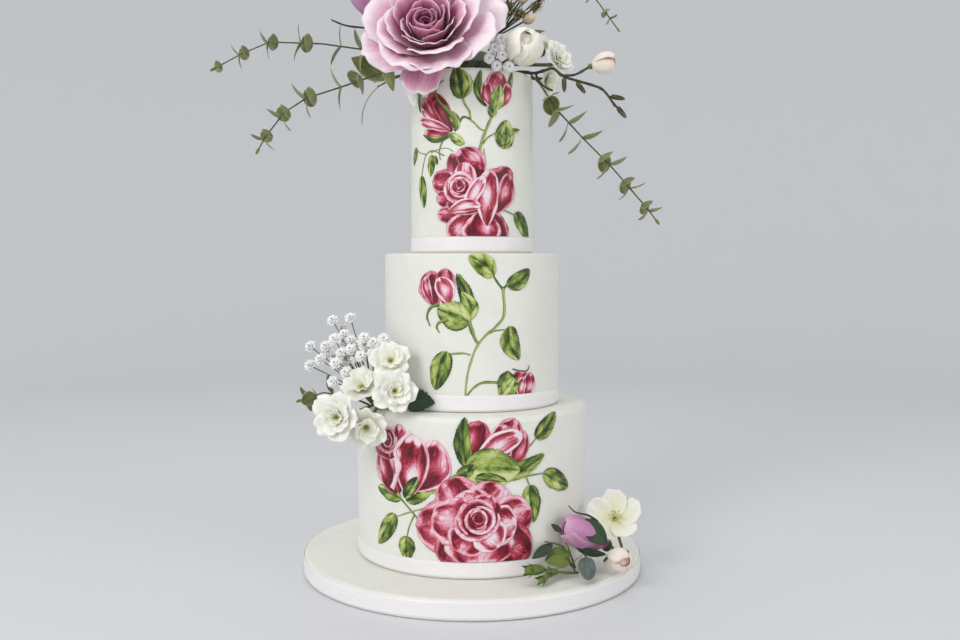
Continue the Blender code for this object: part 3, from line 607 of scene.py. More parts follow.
class Painting:
    def __init__(self, tier):
        self.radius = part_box(tier + "_tier")[1].x / mm
        self.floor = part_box(tier + "_ribbon")[1].z
        self.petals = startMesh()
        self.leaves = startMesh()
        self.layer = 0

    def patch(self, bm, columns, rows, rule, tone):
        self.layer += 1
        lift = 0.14 + 0.018 * self.layer

        def wall(across, along):
            side, height = rule(across, along)
            turn = side / self.radius
            reach = self.radius + lift + uneven(turn, height * mm) / mm
            return Vector((reach * math.sin(turn), -reach * math.cos(turn), height))

        before = set(bm.faces)
        addSheet(bm, columns, rows, wall, Matrix.Scale(mm, 4), tone)
        new = [face for face in bm.faces if face not in before]
        middle = new[len(new) // 2]
        middle.normal_update()
        if middle.normal.dot(middle.calc_center_median() * Vector((1, 1, 0))) < 0:
            bmesh.ops.reverse_faces(bm, faces=new)

    def blade(self, bm, place, shape, tone, grid, teeth=0.0):
        # a leaf or petal from its base to its tip, bowed to the right by curve
        (x, y, tipX, tipY), (width, curve, belly, blunt), seed = place, shape, self.layer
        start, spine = Vector((x, y)), Vector((tipX - x, tipY - y))
        cross = Vector((spine.y, -spine.x)).normalized()

        def rule(across, along):
            ragged = 1 + 0.1 * noise.noise(Vector((seed, along * 5, across * 2)))
            ragged += teeth * math.sin(along * 70 + seed)
            half = width / 2 * math.sin(math.pi * clamp(along) ** belly) ** blunt * ragged
            bow = curve * math.sin(math.pi * along)
            return start + spine * along + cross * (across * half + bow)

        self.patch(bm, *grid, rule, tone)

    def stem(self, points, thick, thin, tone, bm=None):
        line = smoothLine([(side, height, 0) for side, height in points], 5)
        last = len(line) - 1

        def rule(across, along):
            row = round(along * last)
            forward = (line[min(row + 1, last)] - line[max(row - 1, 0)]).normalized()
            half = (thick + (thin - thick) * along) / 2 * (1 + 0.12 * math.sin(row * 1.3))
            spot = line[row] + Vector((forward.y, -forward.x, 0)) * across * half
            return Vector((spot.x, spot.y))

        def shade(across, along):
            return tone + 0.2 * across - 0.2 * (abs(across) > 0.9)

        self.patch(bm or self.leaves, 4, last, rule, shade)

    def fold(self, *values):
        self.stem(*values, self.petals)

    def leaf(self, x, y, tipX, tipY, width, curve=0.0, light=0.5):
        # darker along the midrib, the veins and the rim
        seed = self.layer

        def tone(across, along):
            cloud = noise.noise(Vector((across * 1.3, along * 3, seed)))
            midrib = math.exp(-(((across - 0.1 * math.sin(4 * along)) / 0.14) ** 2))
            rib = max(0, math.sin(17 * (along - 0.3 * abs(across)) + seed)) ** 3
            rim = clamp((abs(across) - 0.8) / 0.2)
            return light + 0.06 + 0.22 * across + 0.6 * cloud - 0.45 * midrib - 0.25 * rib - 0.35 * rim

        self.blade(self.leaves, (x, y, tipX, tipY), (width, curve, 0.8, 0.6), tone, (14, 24), 0.05)

    def petal(self, x, y, tipX, tipY, width, curve, deep, pale, side=0.0, share=0.55):
        # deep at its base, with a pale rim, a light patch where it swells and a dark outline
        seed = self.layer

        def tone(across, along):
            cloud = noise.noise(Vector((across * 1.5, along * 2.5, seed)))
            glow = math.exp(-(((across - side) / 0.5) ** 2) - (((along - share) / 0.24) ** 2))
            rim = clamp((max(abs(across), 2 * along - 1) - 0.68 + 0.25 * cloud) / 0.14)
            line = clamp((max(abs(across), along) - 0.93) / 0.07)
            light = clamp(max(1.05 * rim, glow) + 0.5 * cloud)
            return deep - 0.07 + (pale + 0.12 - deep) * light - 0.2 * line

        self.blade(self.petals, (x, y, tipX, tipY), (width, curve, 1.25, 0.5), tone, (20, 22))

    def curl(self, x, y, radius, turn, spread, width, squash, deep, pale):
        # a band round the rose's heart with a rolled rim
        seed = self.layer
        middle, half = math.radians(turn), math.radians(spread) / 2

        def rule(across, along):
            angle = middle + half * across
            taper = math.cos(across * math.pi / 2) ** 0.45 if abs(across) < 1 else 0.0
            outer = radius * (1 + 0.06 * math.sin(4.1 * across + seed)) * (1 - 0.14 * abs(across) ** 3)
            reach = outer - width * (1 - along) * taper
            return Vector((x + math.sin(angle) * reach, y + math.cos(angle) * reach * squash))

        def tone(across, along):
            cloud = 0.3 * noise.noise(Vector((across * 3, along * 2, seed)))
            rim, line = clamp((along - 0.5) / 0.25), clamp((along - 0.92) / 0.08)
            return deep - 0.07 + (pale + 0.12 - deep) * rim + cloud - 0.3 * line

        self.patch(self.petals, 26, 10, rule, tone)

    def finish(self, name):
        above = {"plane_co": (0, 0, self.floor + 0.1 * mm), "plane_no": (0, 0, 1), "clear_inner": True}
        for bm, kind, finish in ((self.petals, "roses", rosePaint), (self.leaves, "leaves", leafPaint)):
            whole = bm.verts[:] + bm.edges[:] + bm.faces[:]
            bmesh.ops.bisect_plane(bm, geom=whole, dist=1e-7, **above)  # the ribbon covers what is lower
            addPiece(bm, f"{name}-painted-{kind}", finish, slot="icing", thickness=0.1)


def paintTier(tier, picture):
    painting = Painting(tier)
    kinds = {"stem": painting.stem, "fold": painting.fold, "leaf": painting.leaf, "petal": painting.petal,
             "curl": painting.curl}
    for kind, rows in picture:
        for row in rows:
            kinds[kind](*row)
    painting.finish(tier)


# Each picture runs from the back to the front, in strokes of one kind after another.
topPicture = [
    ("stem", [([(-23.5, 365.5), (-35.5, 370.5), (-43.5, 367), (-47, 359.5), (-50, 349)], 1.2, 1.0, 0.5),
        ([(-43.5, 368), (-52, 370), (-60, 374)], 0.9, 0.8, 0.5)]),
    ("leaf", [(-50, 350.5, -46.5, 322, 10.5, 0, 0.5), (-36.5, 367, -38, 348.5, 8.5, 0, 0.5),
        (-33.5, 366, -30.5, 358, 4.5, 0, 0.4), (-58, 375, -65, 360, 8.5, 0, 0.4)]),
    ("stem", [
        ([(-6, 374.5), (-9.5, 379), (-15.5, 382.5), (-22, 382), (-26, 376.5), (-28.5, 369.5), (-27.5, 362)],
         2, 1, 0.5),
        ([(-15.5, 369), (-22, 372), (-30, 371), (-37.5, 368.5)], 0.8, 0.8, 0.6),
        ([(11, 386.5), (7.5, 387.5), (2, 393), (-0.5, 395.5), (-1.5, 402), (-5, 407.5), (-7.5, 413.5)],
         1.2, 2, 0.6),
        ([(-0.5, 395.5), (-6, 397.5), (-9.5, 394.5), (-12.5, 388.5), (-14.5, 386)], 1.5, 2.5, 0.2),
        ([(6, 366.5), (9.5, 379), (14, 390.5), (17.5, 398.5)], 2.5, 2.2, 0.6),
        ([(9.5, 375), (14, 380.5), (21, 384.5)], 1.5, 1, 0.5), ([(10.5, 371), (11, 364)], 0.8, 0.7, 0.6)]),
    ("leaf", [(-50, 404, -54, 425, 6.5, 0.5, 0.4), (-7.5, 412.5, -13, 440, 17, 0, 0.36),
        (-7.5, 412.5, -7, 437, 9, 4.5, 0.62)]),
    ("petal", [(-16.5, 385.5, -39, 419, 20, 0, 0.0, 0.4, -0.2, 0.6),
        (-26, 390.5, -46.5, 416, 12, -2, 0.05, 0.6, 0.3, 0.6),
        (-17, 385.5, -34.5, 413, 10, 2, 0.0, 0.35, 0, 0.6), (-26, 390, -50, 408, 6, -1.5, 0.35, 0.95),
        (-17, 384, -45, 387, 11, -3.5, 0.12, 0.8), (-18, 387, -53.5, 398, 9, 0.5, 0.4, 1.0)]),
    ("leaf", [(-17, 383, -47, 385, 5.5, -4.5, 0.3), (-6.5, 374.5, -20, 384.5, 8, 0, 0.65),
        (-11.5, 387, -21, 404, 8, 2, 0.45)]),
    ("stem", [
        ([(-12.5, 389), (-15.5, 398), (-21.5, 404.5), (-28.5, 411.5), (-32, 418.5), (-30, 424.5), (-24, 429)],
         3.8, 1, 0.4)]),
    ("leaf", [(12.5, 406, 8, 437, 8, -4.5, 0.3), (34, 421, 37, 437, 5, 0, 0.3)]),
    ("petal", [(20, 404.5, 23.5, 436, 22, 0, 0.12, 0.62, -0.2, 0.6),
        (18.5, 405, 12.5, 427, 11, -2, 0.15, 0.8, -0.2), (25, 406, 33, 427, 11, 2, 0.12, 0.75, 0.3)]),
    ("leaf", [(20.5, 404, 24.5, 425, 13, 0, 0.72), (18, 397.5, 17.5, 409.5, 8, 0, 0.45),
        (20, 382, 47, 389, 7, 0, 0.62), (29, 371.5, 31, 396, 19, 0, 0.58)]),
    ("stem", [
        ([(25.5, 387), (22.5, 381), (26.5, 374.5), (33.5, 377), (34.5, 383), (29, 385), (26.5, 381.5)],
         1.2, 0.8, 0.1),
        ([(23, 320.5), (32, 318.5), (42, 315)], 1.2, 1, 0.5)]),
    ("leaf", [(41, 318, 61, 296, 14, 0, 0.4)]),
    ("petal", [(3, 338, 38, 352, 24, 3, 0.05, 0.5, 0.5, 0.7), (18, 316, 34, 351, 18, 4, 0.1, 0.7, -0.2, 0.6),
        (6, 344, -9.5, 371, 25, 2.5, 0.1, 0.75, 0.4, 0.6), (-8, 343, -17, 367, 12, -2, 0.0, 0.5, -0.6),
        (-8, 342, -35.5, 344, 22, 0, 0.1, 0.62, -0.1, 0.7), (-8, 328, -31.5, 330, 15, 0, 0.1, 0.7, 0, 0.75),
        (-6, 315, -30, 316, 15, 0, 0.1, 0.7, 0.3, 0.75), (14, 320, 28, 291, 21, 0, 0.05, 0.55, 0.5, 0.6),
        (0, 316, -17.5, 294, 23, 0, 0.12, 0.85, 0, 0.6), (8, 318, 9.5, 289.5, 34, 0, 0.1, 0.85, -0.2),
        (8, 320, -22, 326, 17, 0, 0.05, 0.6, 0.3), (-8, 330, 5, 360, 25, 0, 0.02, 0.4, -0.5, 0.7),
        (-4, 330, -6, 360, 19, 0, 0.3, 0.9, 0, 0.8)]),
    ("curl", [(-9.5, 339, 14.5, 200, 250, 9, 1.0, 0.2, 0.85), (-9.5, 339, 12.5, 20, 260, 9, 1.0, 0.25, 0.85),
        (-10, 339, 10, 130, 250, 7, 1.0, 0.15, 0.8), (-10, 340, 8, 300, 260, 6, 1.0, 0.2, 0.9),
        (-10, 340, 5.5, 80, 280, 4, 1.0, 0.1, 0.8), (-10, 341.5, 3, 240, 330, 3, 1.3, 0.0, 0.55)]),
    ("petal", [(13, 306, 15.5, 354, 21, -1, 0.25, 0.95, 0, 0.5), (-7, 319, 11, 348, 12, 0, 0.5, 1.1),
        (-20, 318, 8, 323.5, 11.5, -2.5, 0.4, 1.1)]),
]
middlePicture = [
    ("stem", [([(-3.5, 164.5), (2.5, 171.5), (10.5, 175.5), (24, 175)], 1.5, 2.5, 0.5),
        ([(-5, 160), (-4, 175.5), (-1.5, 188.5), (4.5, 205), (12.5, 215),
          (21.5, 222.5), (28, 232.5), (27, 253)],
         1.5, 2.5, 0.65),
        ([(26.5, 253.5), (22.5, 258), (18, 265)],
         2, 1.5, 0.25), ([(27.5, 253.5), (31.5, 258)], 2, 1.5, 0.3),
        ([(15, 216.5), (20.5, 218.5), (31, 219.5)], 1.5, 1, 0.5),
        ([(-0.5, 198.5), (-7, 200), (-20, 199)], 1.2, 2, 0.6),
        ([(5, 208.5), (1.5, 216), (-2, 226.5)], 2, 4, 0.5)]),
    ("leaf", [(19.5, 264, -2, 281, 17.5, 2, 0.68), (30.5, 255, 53, 269.5, 15, 2, 0.45),
        (32, 222, 41.5, 193, 18, 3, 0.5), (-20.5, 201.5, -31, 168.5, 18.5, 1, 0.5)]),
    ("petal", [(-30, 238, -35, 268.5, 22, -3, 0.08, 0.6, -0.3),
        (-22, 240, -22, 270.5, 18, 0, 0.05, 0.6, 0, 0.8), (-34, 242, -39.5, 264, 9, -2, 0.25, 0.85, 0, 0.6),
        (-18, 241, -27, 263, 17, 1, 0.4, 1.0)]),
    ("leaf", [(-1.5, 226, -12, 266, 12.5, 3, 0.2), (-2, 226, -7.5, 251, 13.5, 4, 0.7),
        (-1, 226, -29, 237, 24, 0, 0.62)]),
    ("stem", [([(-27, 240.5), (-35, 237.5), (-38.5, 230), (-35.5, 222)], 3, 1, 0.4),
        ([(-19, 228), (-27, 225.5), (-29.5, 221.5), (-27, 216.5)], 3, 1, 0.5),
        ([(-12, 264), (-9, 264.5), (-5.5, 257)], 1.5, 1, 0.5)]),
    ("petal", [(38, 162, 48, 184, 20, 0, 0.05, 0.6, -0.2, 0.6), (44, 160, 55, 182, 15, 2, 0.1, 0.75, 0.2),
        (42, 160, 46, 179, 9, 0, 0.3, 0.95)]),
    ("leaf", [(22, 172, 42, 173.5, 23, 0, 0.42), (24, 164, 37, 179, 10.5, 0, 0.8)]),
    ("stem", [([(35.5, 186), (43.5, 184), (50.5, 184), (52.5, 188)], 1.2, 0.8, 0.2)]),
]
bottomPicture = [
    ("stem", [([(-66, 83.5), (-52, 71.5), (-44, 64)], 2, 1.6, 0.5),
        ([(-34, 76), (-50.5, 70.5), (-68, 63.5)], 1.5, 1, 0.6),
        ([(-48, 68.5), (-53.5, 57), (-56, 46)], 1.5, 1, 0.5)]),
    ("leaf", [(-67, 66, -89.5, 37, 16, 0, 0.5), (-56, 49.5, -56, 29, 16.5, 0, 0.5),
        (-61, 80, -90, 86, 13, 0, 0.5), (-56, 78.5, -28, 105, 20.5, 0, 0.42),
        (-38, 88, -16, 108, 14.5, 0, 0.6)]),
    ("petal", [(-66, 83, -86, 119, 24, -2, 0.1, 0.75, -0.3, 0.7),
        (-50, 88, -27, 131, 30, 8, 0.1, 0.85, 0.5, 0.7), (-72, 112, -89, 135, 18, -5, 0.1, 0.7, -0.4, 0.65),
        (-73, 112, -61, 142, 18, 3.5, 0.1, 0.8, 0.3, 0.65)]),
    ("curl", [(-76.5, 128, 12, 190, 250, 8, 1.1, 0.15, 0.7), (-76.5, 128, 9.5, 30, 260, 6, 1.1, 0.1, 0.8),
        (-77, 128, 6.5, 150, 270, 5, 1.1, 0.15, 0.8), (-77, 128.5, 3.5, 280, 330, 3.5, 1.1, 0.0, 0.5)]),
    ("petal", [(-63, 84, -63, 118, 14, 0, 0.05, 0.5, 0, 0.6),
        (-54, 82, -49, 135, 34, 0, 0.08, 1.0, 0.15, 0.35)]),
    ("fold", [
        ([(-51, 136.5), (-61, 128), (-67.5, 118.5), (-62.5, 108), (-66, 98), (-71, 87)], 3.5, 5, 0.95)]),
    ("leaf", [(-58, 81, -45, 100, 11, 0, 0.25)]),
    ("stem", [([(43.5, 119.5), (50.5, 125.5), (56.5, 131.5)], 1.2, 1, 0.5)]),
    ("leaf", [(55.5, 130.5, 77, 151, 15.5, 1, 0.38)]),
    ("stem", [([(33, 98.5), (50.5, 100.5), (64.5, 101)], 1.4, 1, 0.5)]),
    ("leaf", [(63.5, 101.5, 94.5, 84.5, 17, 0, 0.5)]),
    ("stem", [([(46.5, 99.5), (50.5, 90)], 1.2, 1, 0.5)]),
    ("leaf", [(50, 93, 53.5, 61, 17.5, 0, 0.5)]),
    ("petal", [(3, 110, 6, 148, 26, -2.5, 0.05, 0.5, -0.2, 0.6),
        (24, 116, 36, 149, 24, 0, 0.1, 0.7, 0.2, 0.7), (31, 105, 45, 138, 15, 2, 0.1, 0.7, 0.2),
        (14, 112, 29, 144, 20, 0, 0.1, 0.8, 0, 0.7), (3, 113, 43, 136, 20, -3, 0.4, 1.1)]),
    ("leaf", [(-3, 109, -5, 151, 14, -3, 0.36), (20, 101, 64.5, 117, 14, 2.5, 0.5),
        (-5, 110, 41, 106, 32, -1, 0.78), (3, 101, 30, 97, 12, 0, 0.5), (-11, 100, 3, 112, 11, 0, 0.35)]),
    ("stem", [([(-4.5, 107), (-14, 101.5), (-24, 92)], 2.5, 3.5, 0.4)]),
    ("petal", [(4, 64, -22, 98.5, 39, 0, 0.1, 0.7, -0.2, 0.7), (4, 64, 27, 94, 40, 0, 0.1, 0.8, 0.2, 0.75),
        (10, 60, -47, 60, 44, 0, 0.1, 0.75, -0.2, 0.7), (8, 60, 51.5, 72.5, 38, 0, 0.1, 0.8, -0.2, 0.75),
        (8, 62, 50, 34, 38, 0, 0.02, 0.5, 0.1, 0.7), (0, 62, -21, 28, 38, 0, 0.02, 0.55, -0.2, 0.7),
        (7, 68, 7, 27.5, 58, 0, 0.1, 0.85, -0.1, 0.7), (6, 64, -5, 91, 34, 0, 0.12, 0.85, 0, 0.7),
        (10, 62, -33, 67, 40, 0, 0.1, 0.85, 0, 0.75), (6, 64, 38, 60, 34, 0, 0.15, 0.9, 0, 0.75),
        (4, 66, -8, 38.5, 34, 0, 0.1, 0.8, 0, 0.75), (4, 66, 24, 44, 30, 0, 0.3, 1.05, 0, 0.7),
        (4, 62, 17, 87, 26, 0, 0.1, 0.75, 0, 0.7)]),
    ("curl", [(5, 66.5, 20, 180, 230, 12, 0.9, 0.1, 0.85), (5, 67, 17.5, 330, 250, 11, 0.95, 0.1, 0.8),
        (5.5, 67, 14, 110, 240, 9, 0.95, 0.15, 0.9), (5.5, 67, 11, 250, 260, 8, 1.0, 0.1, 0.8),
        (6, 67, 8, 60, 270, 6, 1.0, 0.15, 0.85), (6, 67.5, 5, 200, 330, 5, 1.0, 0.0, 0.5)]),
]
for tier, picture in (("top", topPicture), ("middle", middlePicture), ("bottom", bottomPicture)):
    paintTier(tier, picture)
print("roses painted")


# Flowers: rings of petals round an axis. Lengths are in millimetres, and angles in degrees from the axis.


def petalPoint(petal, across, along):
    reach = along * (1 - petal["tip"] * across * across
                     - petal["notch"] * math.exp(-((across / 0.22) ** 2)) * along)
    start, end = math.radians(petal["start"]), math.radians(petal["end"])
    if abs(end - start) < 0.01:
        end = start + 0.01
    angle = start + (end - start) * reach
    radius = petal["root"] + petal["length"] * (math.cos(start) - math.cos(angle)) / (end - start)
    height = 1 + petal["length"] * (math.sin(angle) - math.sin(start)) / (end - start)
    curl = petal["lip"] * (max(0.0, reach - 0.7) / 0.3) ** 2
    fine = petal["crinkle"] * along**3
    phase = petal["phase"]
    radius += curl + petal["roll"] * abs(across) ** 3 * reach + petal["lap"] * across * reach
    radius += fine * math.cos(13.0 * across + phase)
    height += petal["ruffle"] * reach * reach * math.sin(math.tau * across + phase) - 0.55 * curl
    height += fine * math.sin(9.0 * across + 2 * phase)
    breadth = math.sin(min(1.0, along / petal["broad"]) * math.pi / 2)
    swing = across * petal["width"] / 2 * breadth / max(radius, 0.18 * petal["width"])
    return Vector((radius * math.cos(swing), radius * math.sin(swing), height))


def petalTone(petal, across, along):
    edge = max(along**10, abs(across) ** 7 * along)
    fold = 0.06 * math.sin(5 * across + petal["phase"])
    return clamp(petal["deep"] + (petal["pale"] - petal["deep"]) * along**1.2 + petal["rim"] * edge + fold)


def ringOf(count, turn, length, width, start, end, close=0, shades=(0,), **changes):
    # close shuts the petals on the flower's lower side, and shades makes some petals paler than others
    petal = {"length": length, "width": width, "start": start, "end": end, "lip": 0, "lap": 2, "broad": 0.65,
             "root": 2, "tip": 0.16, "ruffle": 0, "crinkle": 0, "roll": 0, "notch": 0, "rim": 0.15}
    petal.update(changes)
    return count, turn, close, shades, petal


def addRing(bm, ring, place, grid):
    count, first, close, shades, values = ring
    for number in range(count):
        turn = first + number * 360 / count
        shade = shades[number % len(shades)]
        closing = close * max(0.0, -math.sin(math.radians(turn)))
        petal = {**values, "phase": 2.1 * number + first}
        petal["length"] *= 1 + 0.07 * math.sin(1.9 * number + first)
        for label, change in (("start", -closing), ("end", -closing), ("deep", shade), ("pale", shade * 0.7)):
            petal[label] += change
        addSheet(bm, *grid, lambda across, along: petalPoint(petal, across, along), place @ spun(turn),
                 lambda across, along: petalTone(petal, across, along))


def addRolledHeart(bm, place, inner, outer, height):
    # a petal rolled up round the axis
    turns = 2.2

    def rule(across, along):
        share = (across + 1) / 2
        angle = share * turns * math.tau
        radius = inner + (outer - inner) * share + 1.6 * along**3
        top = height * (1 + 0.12 * share + 0.05 * math.sin(angle * 1.5))
        return Vector((radius * math.cos(angle), radius * math.sin(angle), along * top))

    addSheet(bm, 44, 8, rule, place, lambda across, along: clamp(0.1 + 0.3 * along**6 + 0.12 * across))


loose = {"lap": 1.4, "crinkle": 0.35, "notch": 0.08, "tip": 0.24, "root": 0.8}
roseRings = [
    ringOf(3, 100, 27, 18, 30, -30, deep=0.0, pale=0.2, lip=1, crinkle=0.2),
    ringOf(3, 40, 32, 23, 36, -28, deep=0.03, pale=0.3, lip=1.5, crinkle=0.3, rim=0.2),
    ringOf(3, 10, 37, 28, 42, -24, deep=0.06, pale=0.4, lip=2, crinkle=0.4, rim=0.3),
    ringOf(4, 85, 41, 31, 48, -16, lap=2.5, deep=0.1, pale=0.46, lip=3, crinkle=0.4, rim=0.3, roll=1.0),
    ringOf(4, 50, 45, 36, 56, -6, lap=3, deep=0.16, pale=0.52, lip=4, crinkle=0.5, rim=0.4, roll=1.5),
    ringOf(4, 0, 49, 42, 63, 6, 4, lap=3, deep=0.22, pale=0.58, lip=5, crinkle=0.6, rim=0.45, roll=2.0),
    ringOf(4, 20, 54, 50, 70, 18, 5, (0.2, 0, 0, 0.08), lap=3, deep=0.3, pale=0.68, lip=7, crinkle=0.6,
           rim=0.45, roll=2.5),
    ringOf(4, 65, 60, 60, 84, 38, 12, (0.1, 0.12, 0, 0.25), lap=3, deep=0.36, pale=0.76, lip=7, ruffle=2,
           crinkle=0.8, rim=0.4, roll=2.5),
    ringOf(4, 20, 60, 56, 92, 62, 24, (0.4, 0.3, 0.05, 0.1), lap=3, deep=0.42, pale=0.82, lip=5, ruffle=3,
           crinkle=1.0, rim=0.3, roll=2.0),
    ringOf(1, 258, 49, 36, 100, 84, deep=0.4, pale=0.72, ruffle=1, crinkle=0.8, rim=0.3),
]
budRings = [
    ringOf(3, 100, 46, 25, 40, -32, broad=0.4, deep=0.0, pale=0.12, rim=0.6),
    ringOf(3, 70, 50, 32, 46, -35, lip=1, broad=0.4, deep=0.2, pale=0.5, rim=0.4),
    ringOf(3, 40, 54, 38, 50, -38, lap=1.8, lip=1.5, broad=0.4, deep=0.36, pale=0.6, crinkle=0.4, rim=0.25),
]
peonyRings = [
    ringOf(3, 140, 42, 32, 70, -90, broad=0.5, deep=0.3, pale=0.7),
    ringOf(3, 110, 50, 38, 74, -66, broad=0.5, deep=0.3, pale=0.6),
    ringOf(3, 80, 52, 42, 76, -64, broad=0.5, deep=0.35, pale=0.75, crinkle=0.3),
    ringOf(3, 50, 54, 44, 78, -62, lap=2.2, broad=0.5, deep=0.4, pale=0.8, crinkle=0.3),
]
roundRings = [
    ringOf(3, 60, 29, 19, 74, -62, lap=1.2, root=1, deep=0.35, pale=0.7),
    ringOf(3, 0, 31, 20, 76, -58, lap=1.5, root=1, deep=0.2, pale=0.75),
]
doubleRings = [
    ringOf(5, 36, 24, 24, 60, 80, **loose, ruffle=1.8, deep=0.3, pale=0.9),
    ringOf(5, 0, 19, 19, 40, 62, **loose, ruffle=1.6, deep=0.2, pale=0.85),
    ringOf(4, 20, 12, 10, 22, 44, lap=1.2, ruffle=1.0, crinkle=0.6, root=0.6, deep=0.0, pale=0.75),
]
singleRings = [
    ringOf(5, 36, 24, 24, 60, 80, **{**loose, "notch": 0.1}, ruffle=1.8, deep=0.1, pale=0.85),
    ringOf(5, 0, 17, 17, 30, 58, lap=1.2, ruffle=1.4, crinkle=0.3, root=0.6, deep=0.05, pale=0.8),
]
cuppedRings = [
    ringOf(5, 36, 29, 23, 75, 34, lap=1.6, ruffle=1.0, crinkle=0.5, notch=0.05, tip=0.22, root=1, deep=0.15,
           pale=0.9),
]


def addStamens(bm, place, count, length, lean, size, seed):
    chance = random.Random(seed)
    for number in range(count):
        turn = math.tau * number / count + chance.uniform(-0.2, 0.2)
        out = lean * chance.uniform(0.5, 1.2)
        tip = Vector((math.cos(turn) * out, math.sin(turn) * out, length * chance.uniform(0.8, 1.1)))
        line = [Vector((0, 0, 1)), tip * 0.55 + Vector((0, 0, 0.8)), tip]
        addTube(bm, [place @ point / mm for point in line], 0.22, 0.18, sides=5, steps=2, tone=0.7)
        addBall(bm, place @ shifted(*tip), (size, size, size * 1.4), segments=6, rings=4)


mound = {"centre": (5, 6, 439.3), "size": 25}


def moundEdge(azimuth, height):
    # just outside the mound: azimuth from the front, positive to the right
    turn, rise = math.radians(azimuth), math.radians(height)
    reach = mound["size"] + 1.9
    x, y, z = mound["centre"]
    flat = reach * math.cos(rise)
    return x + flat * math.sin(turn), y - flat * math.cos(turn), z + reach * math.sin(rise)


def buildMound(name, centre, size, seed):
    # what the stems are pushed into: a rough green ball on a flat foot
    bm = startMesh()
    bmesh.ops.create_icosphere(bm, subdivisions=4, radius=1.0)
    whole = bm.verts[:] + bm.edges[:] + bm.faces[:]
    bmesh.ops.bisect_plane(bm, geom=whole, plane_co=(0, 0, 0), plane_no=(0, 0, 1), clear_inner=True)
    bmesh.ops.holes_fill(bm, edges=[edge for edge in bm.edges if edge.is_boundary], sides=0)
    place = aim(centre, (0, 0, 1)) @ Matrix.Diagonal((*size, 1))
    for vertex in bm.verts:
        rough = 1 - 0.05 * noise.noise(vertex.co * 4 + Vector((seed, 0, 0)))
        if vertex.co.z > 0.001:
            vertex.co *= rough
        vertex.co = place @ vertex.co
    addPiece(bm, name + "-moss", greenStem, [name], "leaf", sharp=50)


def buildFlower(name, rings, spot, way, finish, slot, scale=1.0, turn=0.0, heart=None, core=None, stamens=None,
                root=None, via=(), stem=1.6, grid=(14, 12)):
    place = aim(spot, way) @ spun(turn) @ Matrix.Scale(scale, 4)
    bm = startMesh()
    for ring in rings:
        addRing(bm, ring, place, grid)
    if heart:
        addRolledHeart(bm, place, *heart)
    if core:
        radius, half = core
        addBall(bm, place @ shifted(0, 0, half), (radius, radius, half), segments=24, rings=16)
    addPart(bm, name, "petals", finish, slot, 0.35)
    if stamens:
        bm = startMesh()
        addStamens(bm, place, *stamens, len(name))
        addPart(bm, name, "stamens", stamen, "leaf")
    if root:
        spot, forward = Vector(spot), Vector(way).normalized()
        bm = startMesh()
        addTube(bm, [spot + forward * 3, spot - forward * 7, *via, root], stem, stem)
        addPart(bm, name, "stem", greenStem, "leaf")
    return place


def leafPoint(leaf, across, along):
    half = 0
    if 0 < along < 1:
        half = leaf["width"] / 2 * math.sin(math.pi * along ** leaf["belly"]) ** leaf["blunt"]
    bend = math.radians(leaf["droop"]) or 0.01
    side = across * half
    lift = leaf["fold"] * abs(side) + leaf["wave"] * across * math.sin(5 * along + leaf["width"])
    if leaf["teeth"]:
        side *= 1 + 0.1 * abs(across) ** 6 * math.sin(along * leaf["teeth"] * math.tau)
    y = -leaf["length"] * (1 - math.cos(bend * along)) / bend + (lift if half else 0)
    return Vector((side, y, leaf["length"] * math.sin(bend * along) / bend))


def addLeaf(bm, place, grid, tone, length, width, **changes):
    leaf = {"length": length, "width": width, "droop": 20, "fold": 0.15, "wave": 0.4, "belly": 0.85,
            "blunt": 0.8, "teeth": 0, **changes}
    addSheet(bm, *grid, lambda across, along: leafPoint(leaf, across, along), place,
             lambda across, along: tone + 0.12 * math.sin(4 * along + across))


def buildSprig(name, path, pairs, sizes, first, early=(), stem=(0.9, 0.5), tip=2.2):
    # pairs of round leaves to a tip bud: each second pair is turned and close behind the one before it
    line = smoothLine(path, 1)
    places = [(share, turn, sizes[0]) for share, turn in early]
    for number in range(pairs):
        step = (number // 2 + 0.67 * (number % 2)) / (pairs / 2)
        size = sizes[0] + (sizes[1] - sizes[0]) * number / (pairs - 1)
        places.append((first + (1 - first) * step**0.87, 78 * (number % 2), size))
    leaves = startMesh()
    for number, (share, turn, size) in enumerate(places):
        spot, forward = alongLine(line, share)
        side = Vector((0, -1, 0.1)).cross(forward).normalized()
        side.rotate(Matrix.Rotation(math.radians(turn), 3, forward))
        for sign in (1, -1):
            lay = math.radians(62 - 0.2 * turn + 9 * math.sin(3.1 * number + sign))
            direction = forward * math.cos(lay) + side * (sign * math.sin(lay))
            tone = 0.5 + 0.3 * math.sin(2.7 * number + 1.3 * sign)
            place = aim(spot + side * (sign * 0.4), direction, forward)
            addLeaf(leaves, place, (8, 12), tone, size, size * 0.86, droop=24, fold=0.1, wave=0.25, belly=0.8,
                    blunt=0.6)
    addPart(leaves, name, "leaves", eucalyptus, "sage_leaf", 0.3)
    bm = startMesh()
    addTube(bm, line, *stem, steps=1, tone=0.35, knots=0.2)
    end, forward = alongLine(line, 1.0)
    addBall(bm, aim(end, forward), (tip * 0.6, tip * 0.6, tip * 1.5), lambda z: 0.7)
    addPart(bm, name, "stem", greenStem, "sage_leaf")


def buildLeaf(name, stalk, direction, facing, finish, slot, length, width, tone=0.5, **shape):
    line = smoothLine(stalk, 1)
    bm = startMesh()
    place = aim(line[-1] - (line[-1] - line[-2]) * 0.4, direction, facing)
    addLeaf(bm, place, (12, 18), tone, length, width, **shape)
    addPart(bm, name, "blade", finish, slot, 0.35)
    bm = startMesh()
    addTube(bm, line, 0.9, 0.72)
    addPart(bm, name, "stalk", greenStem, slot)


# The posy on the top tier


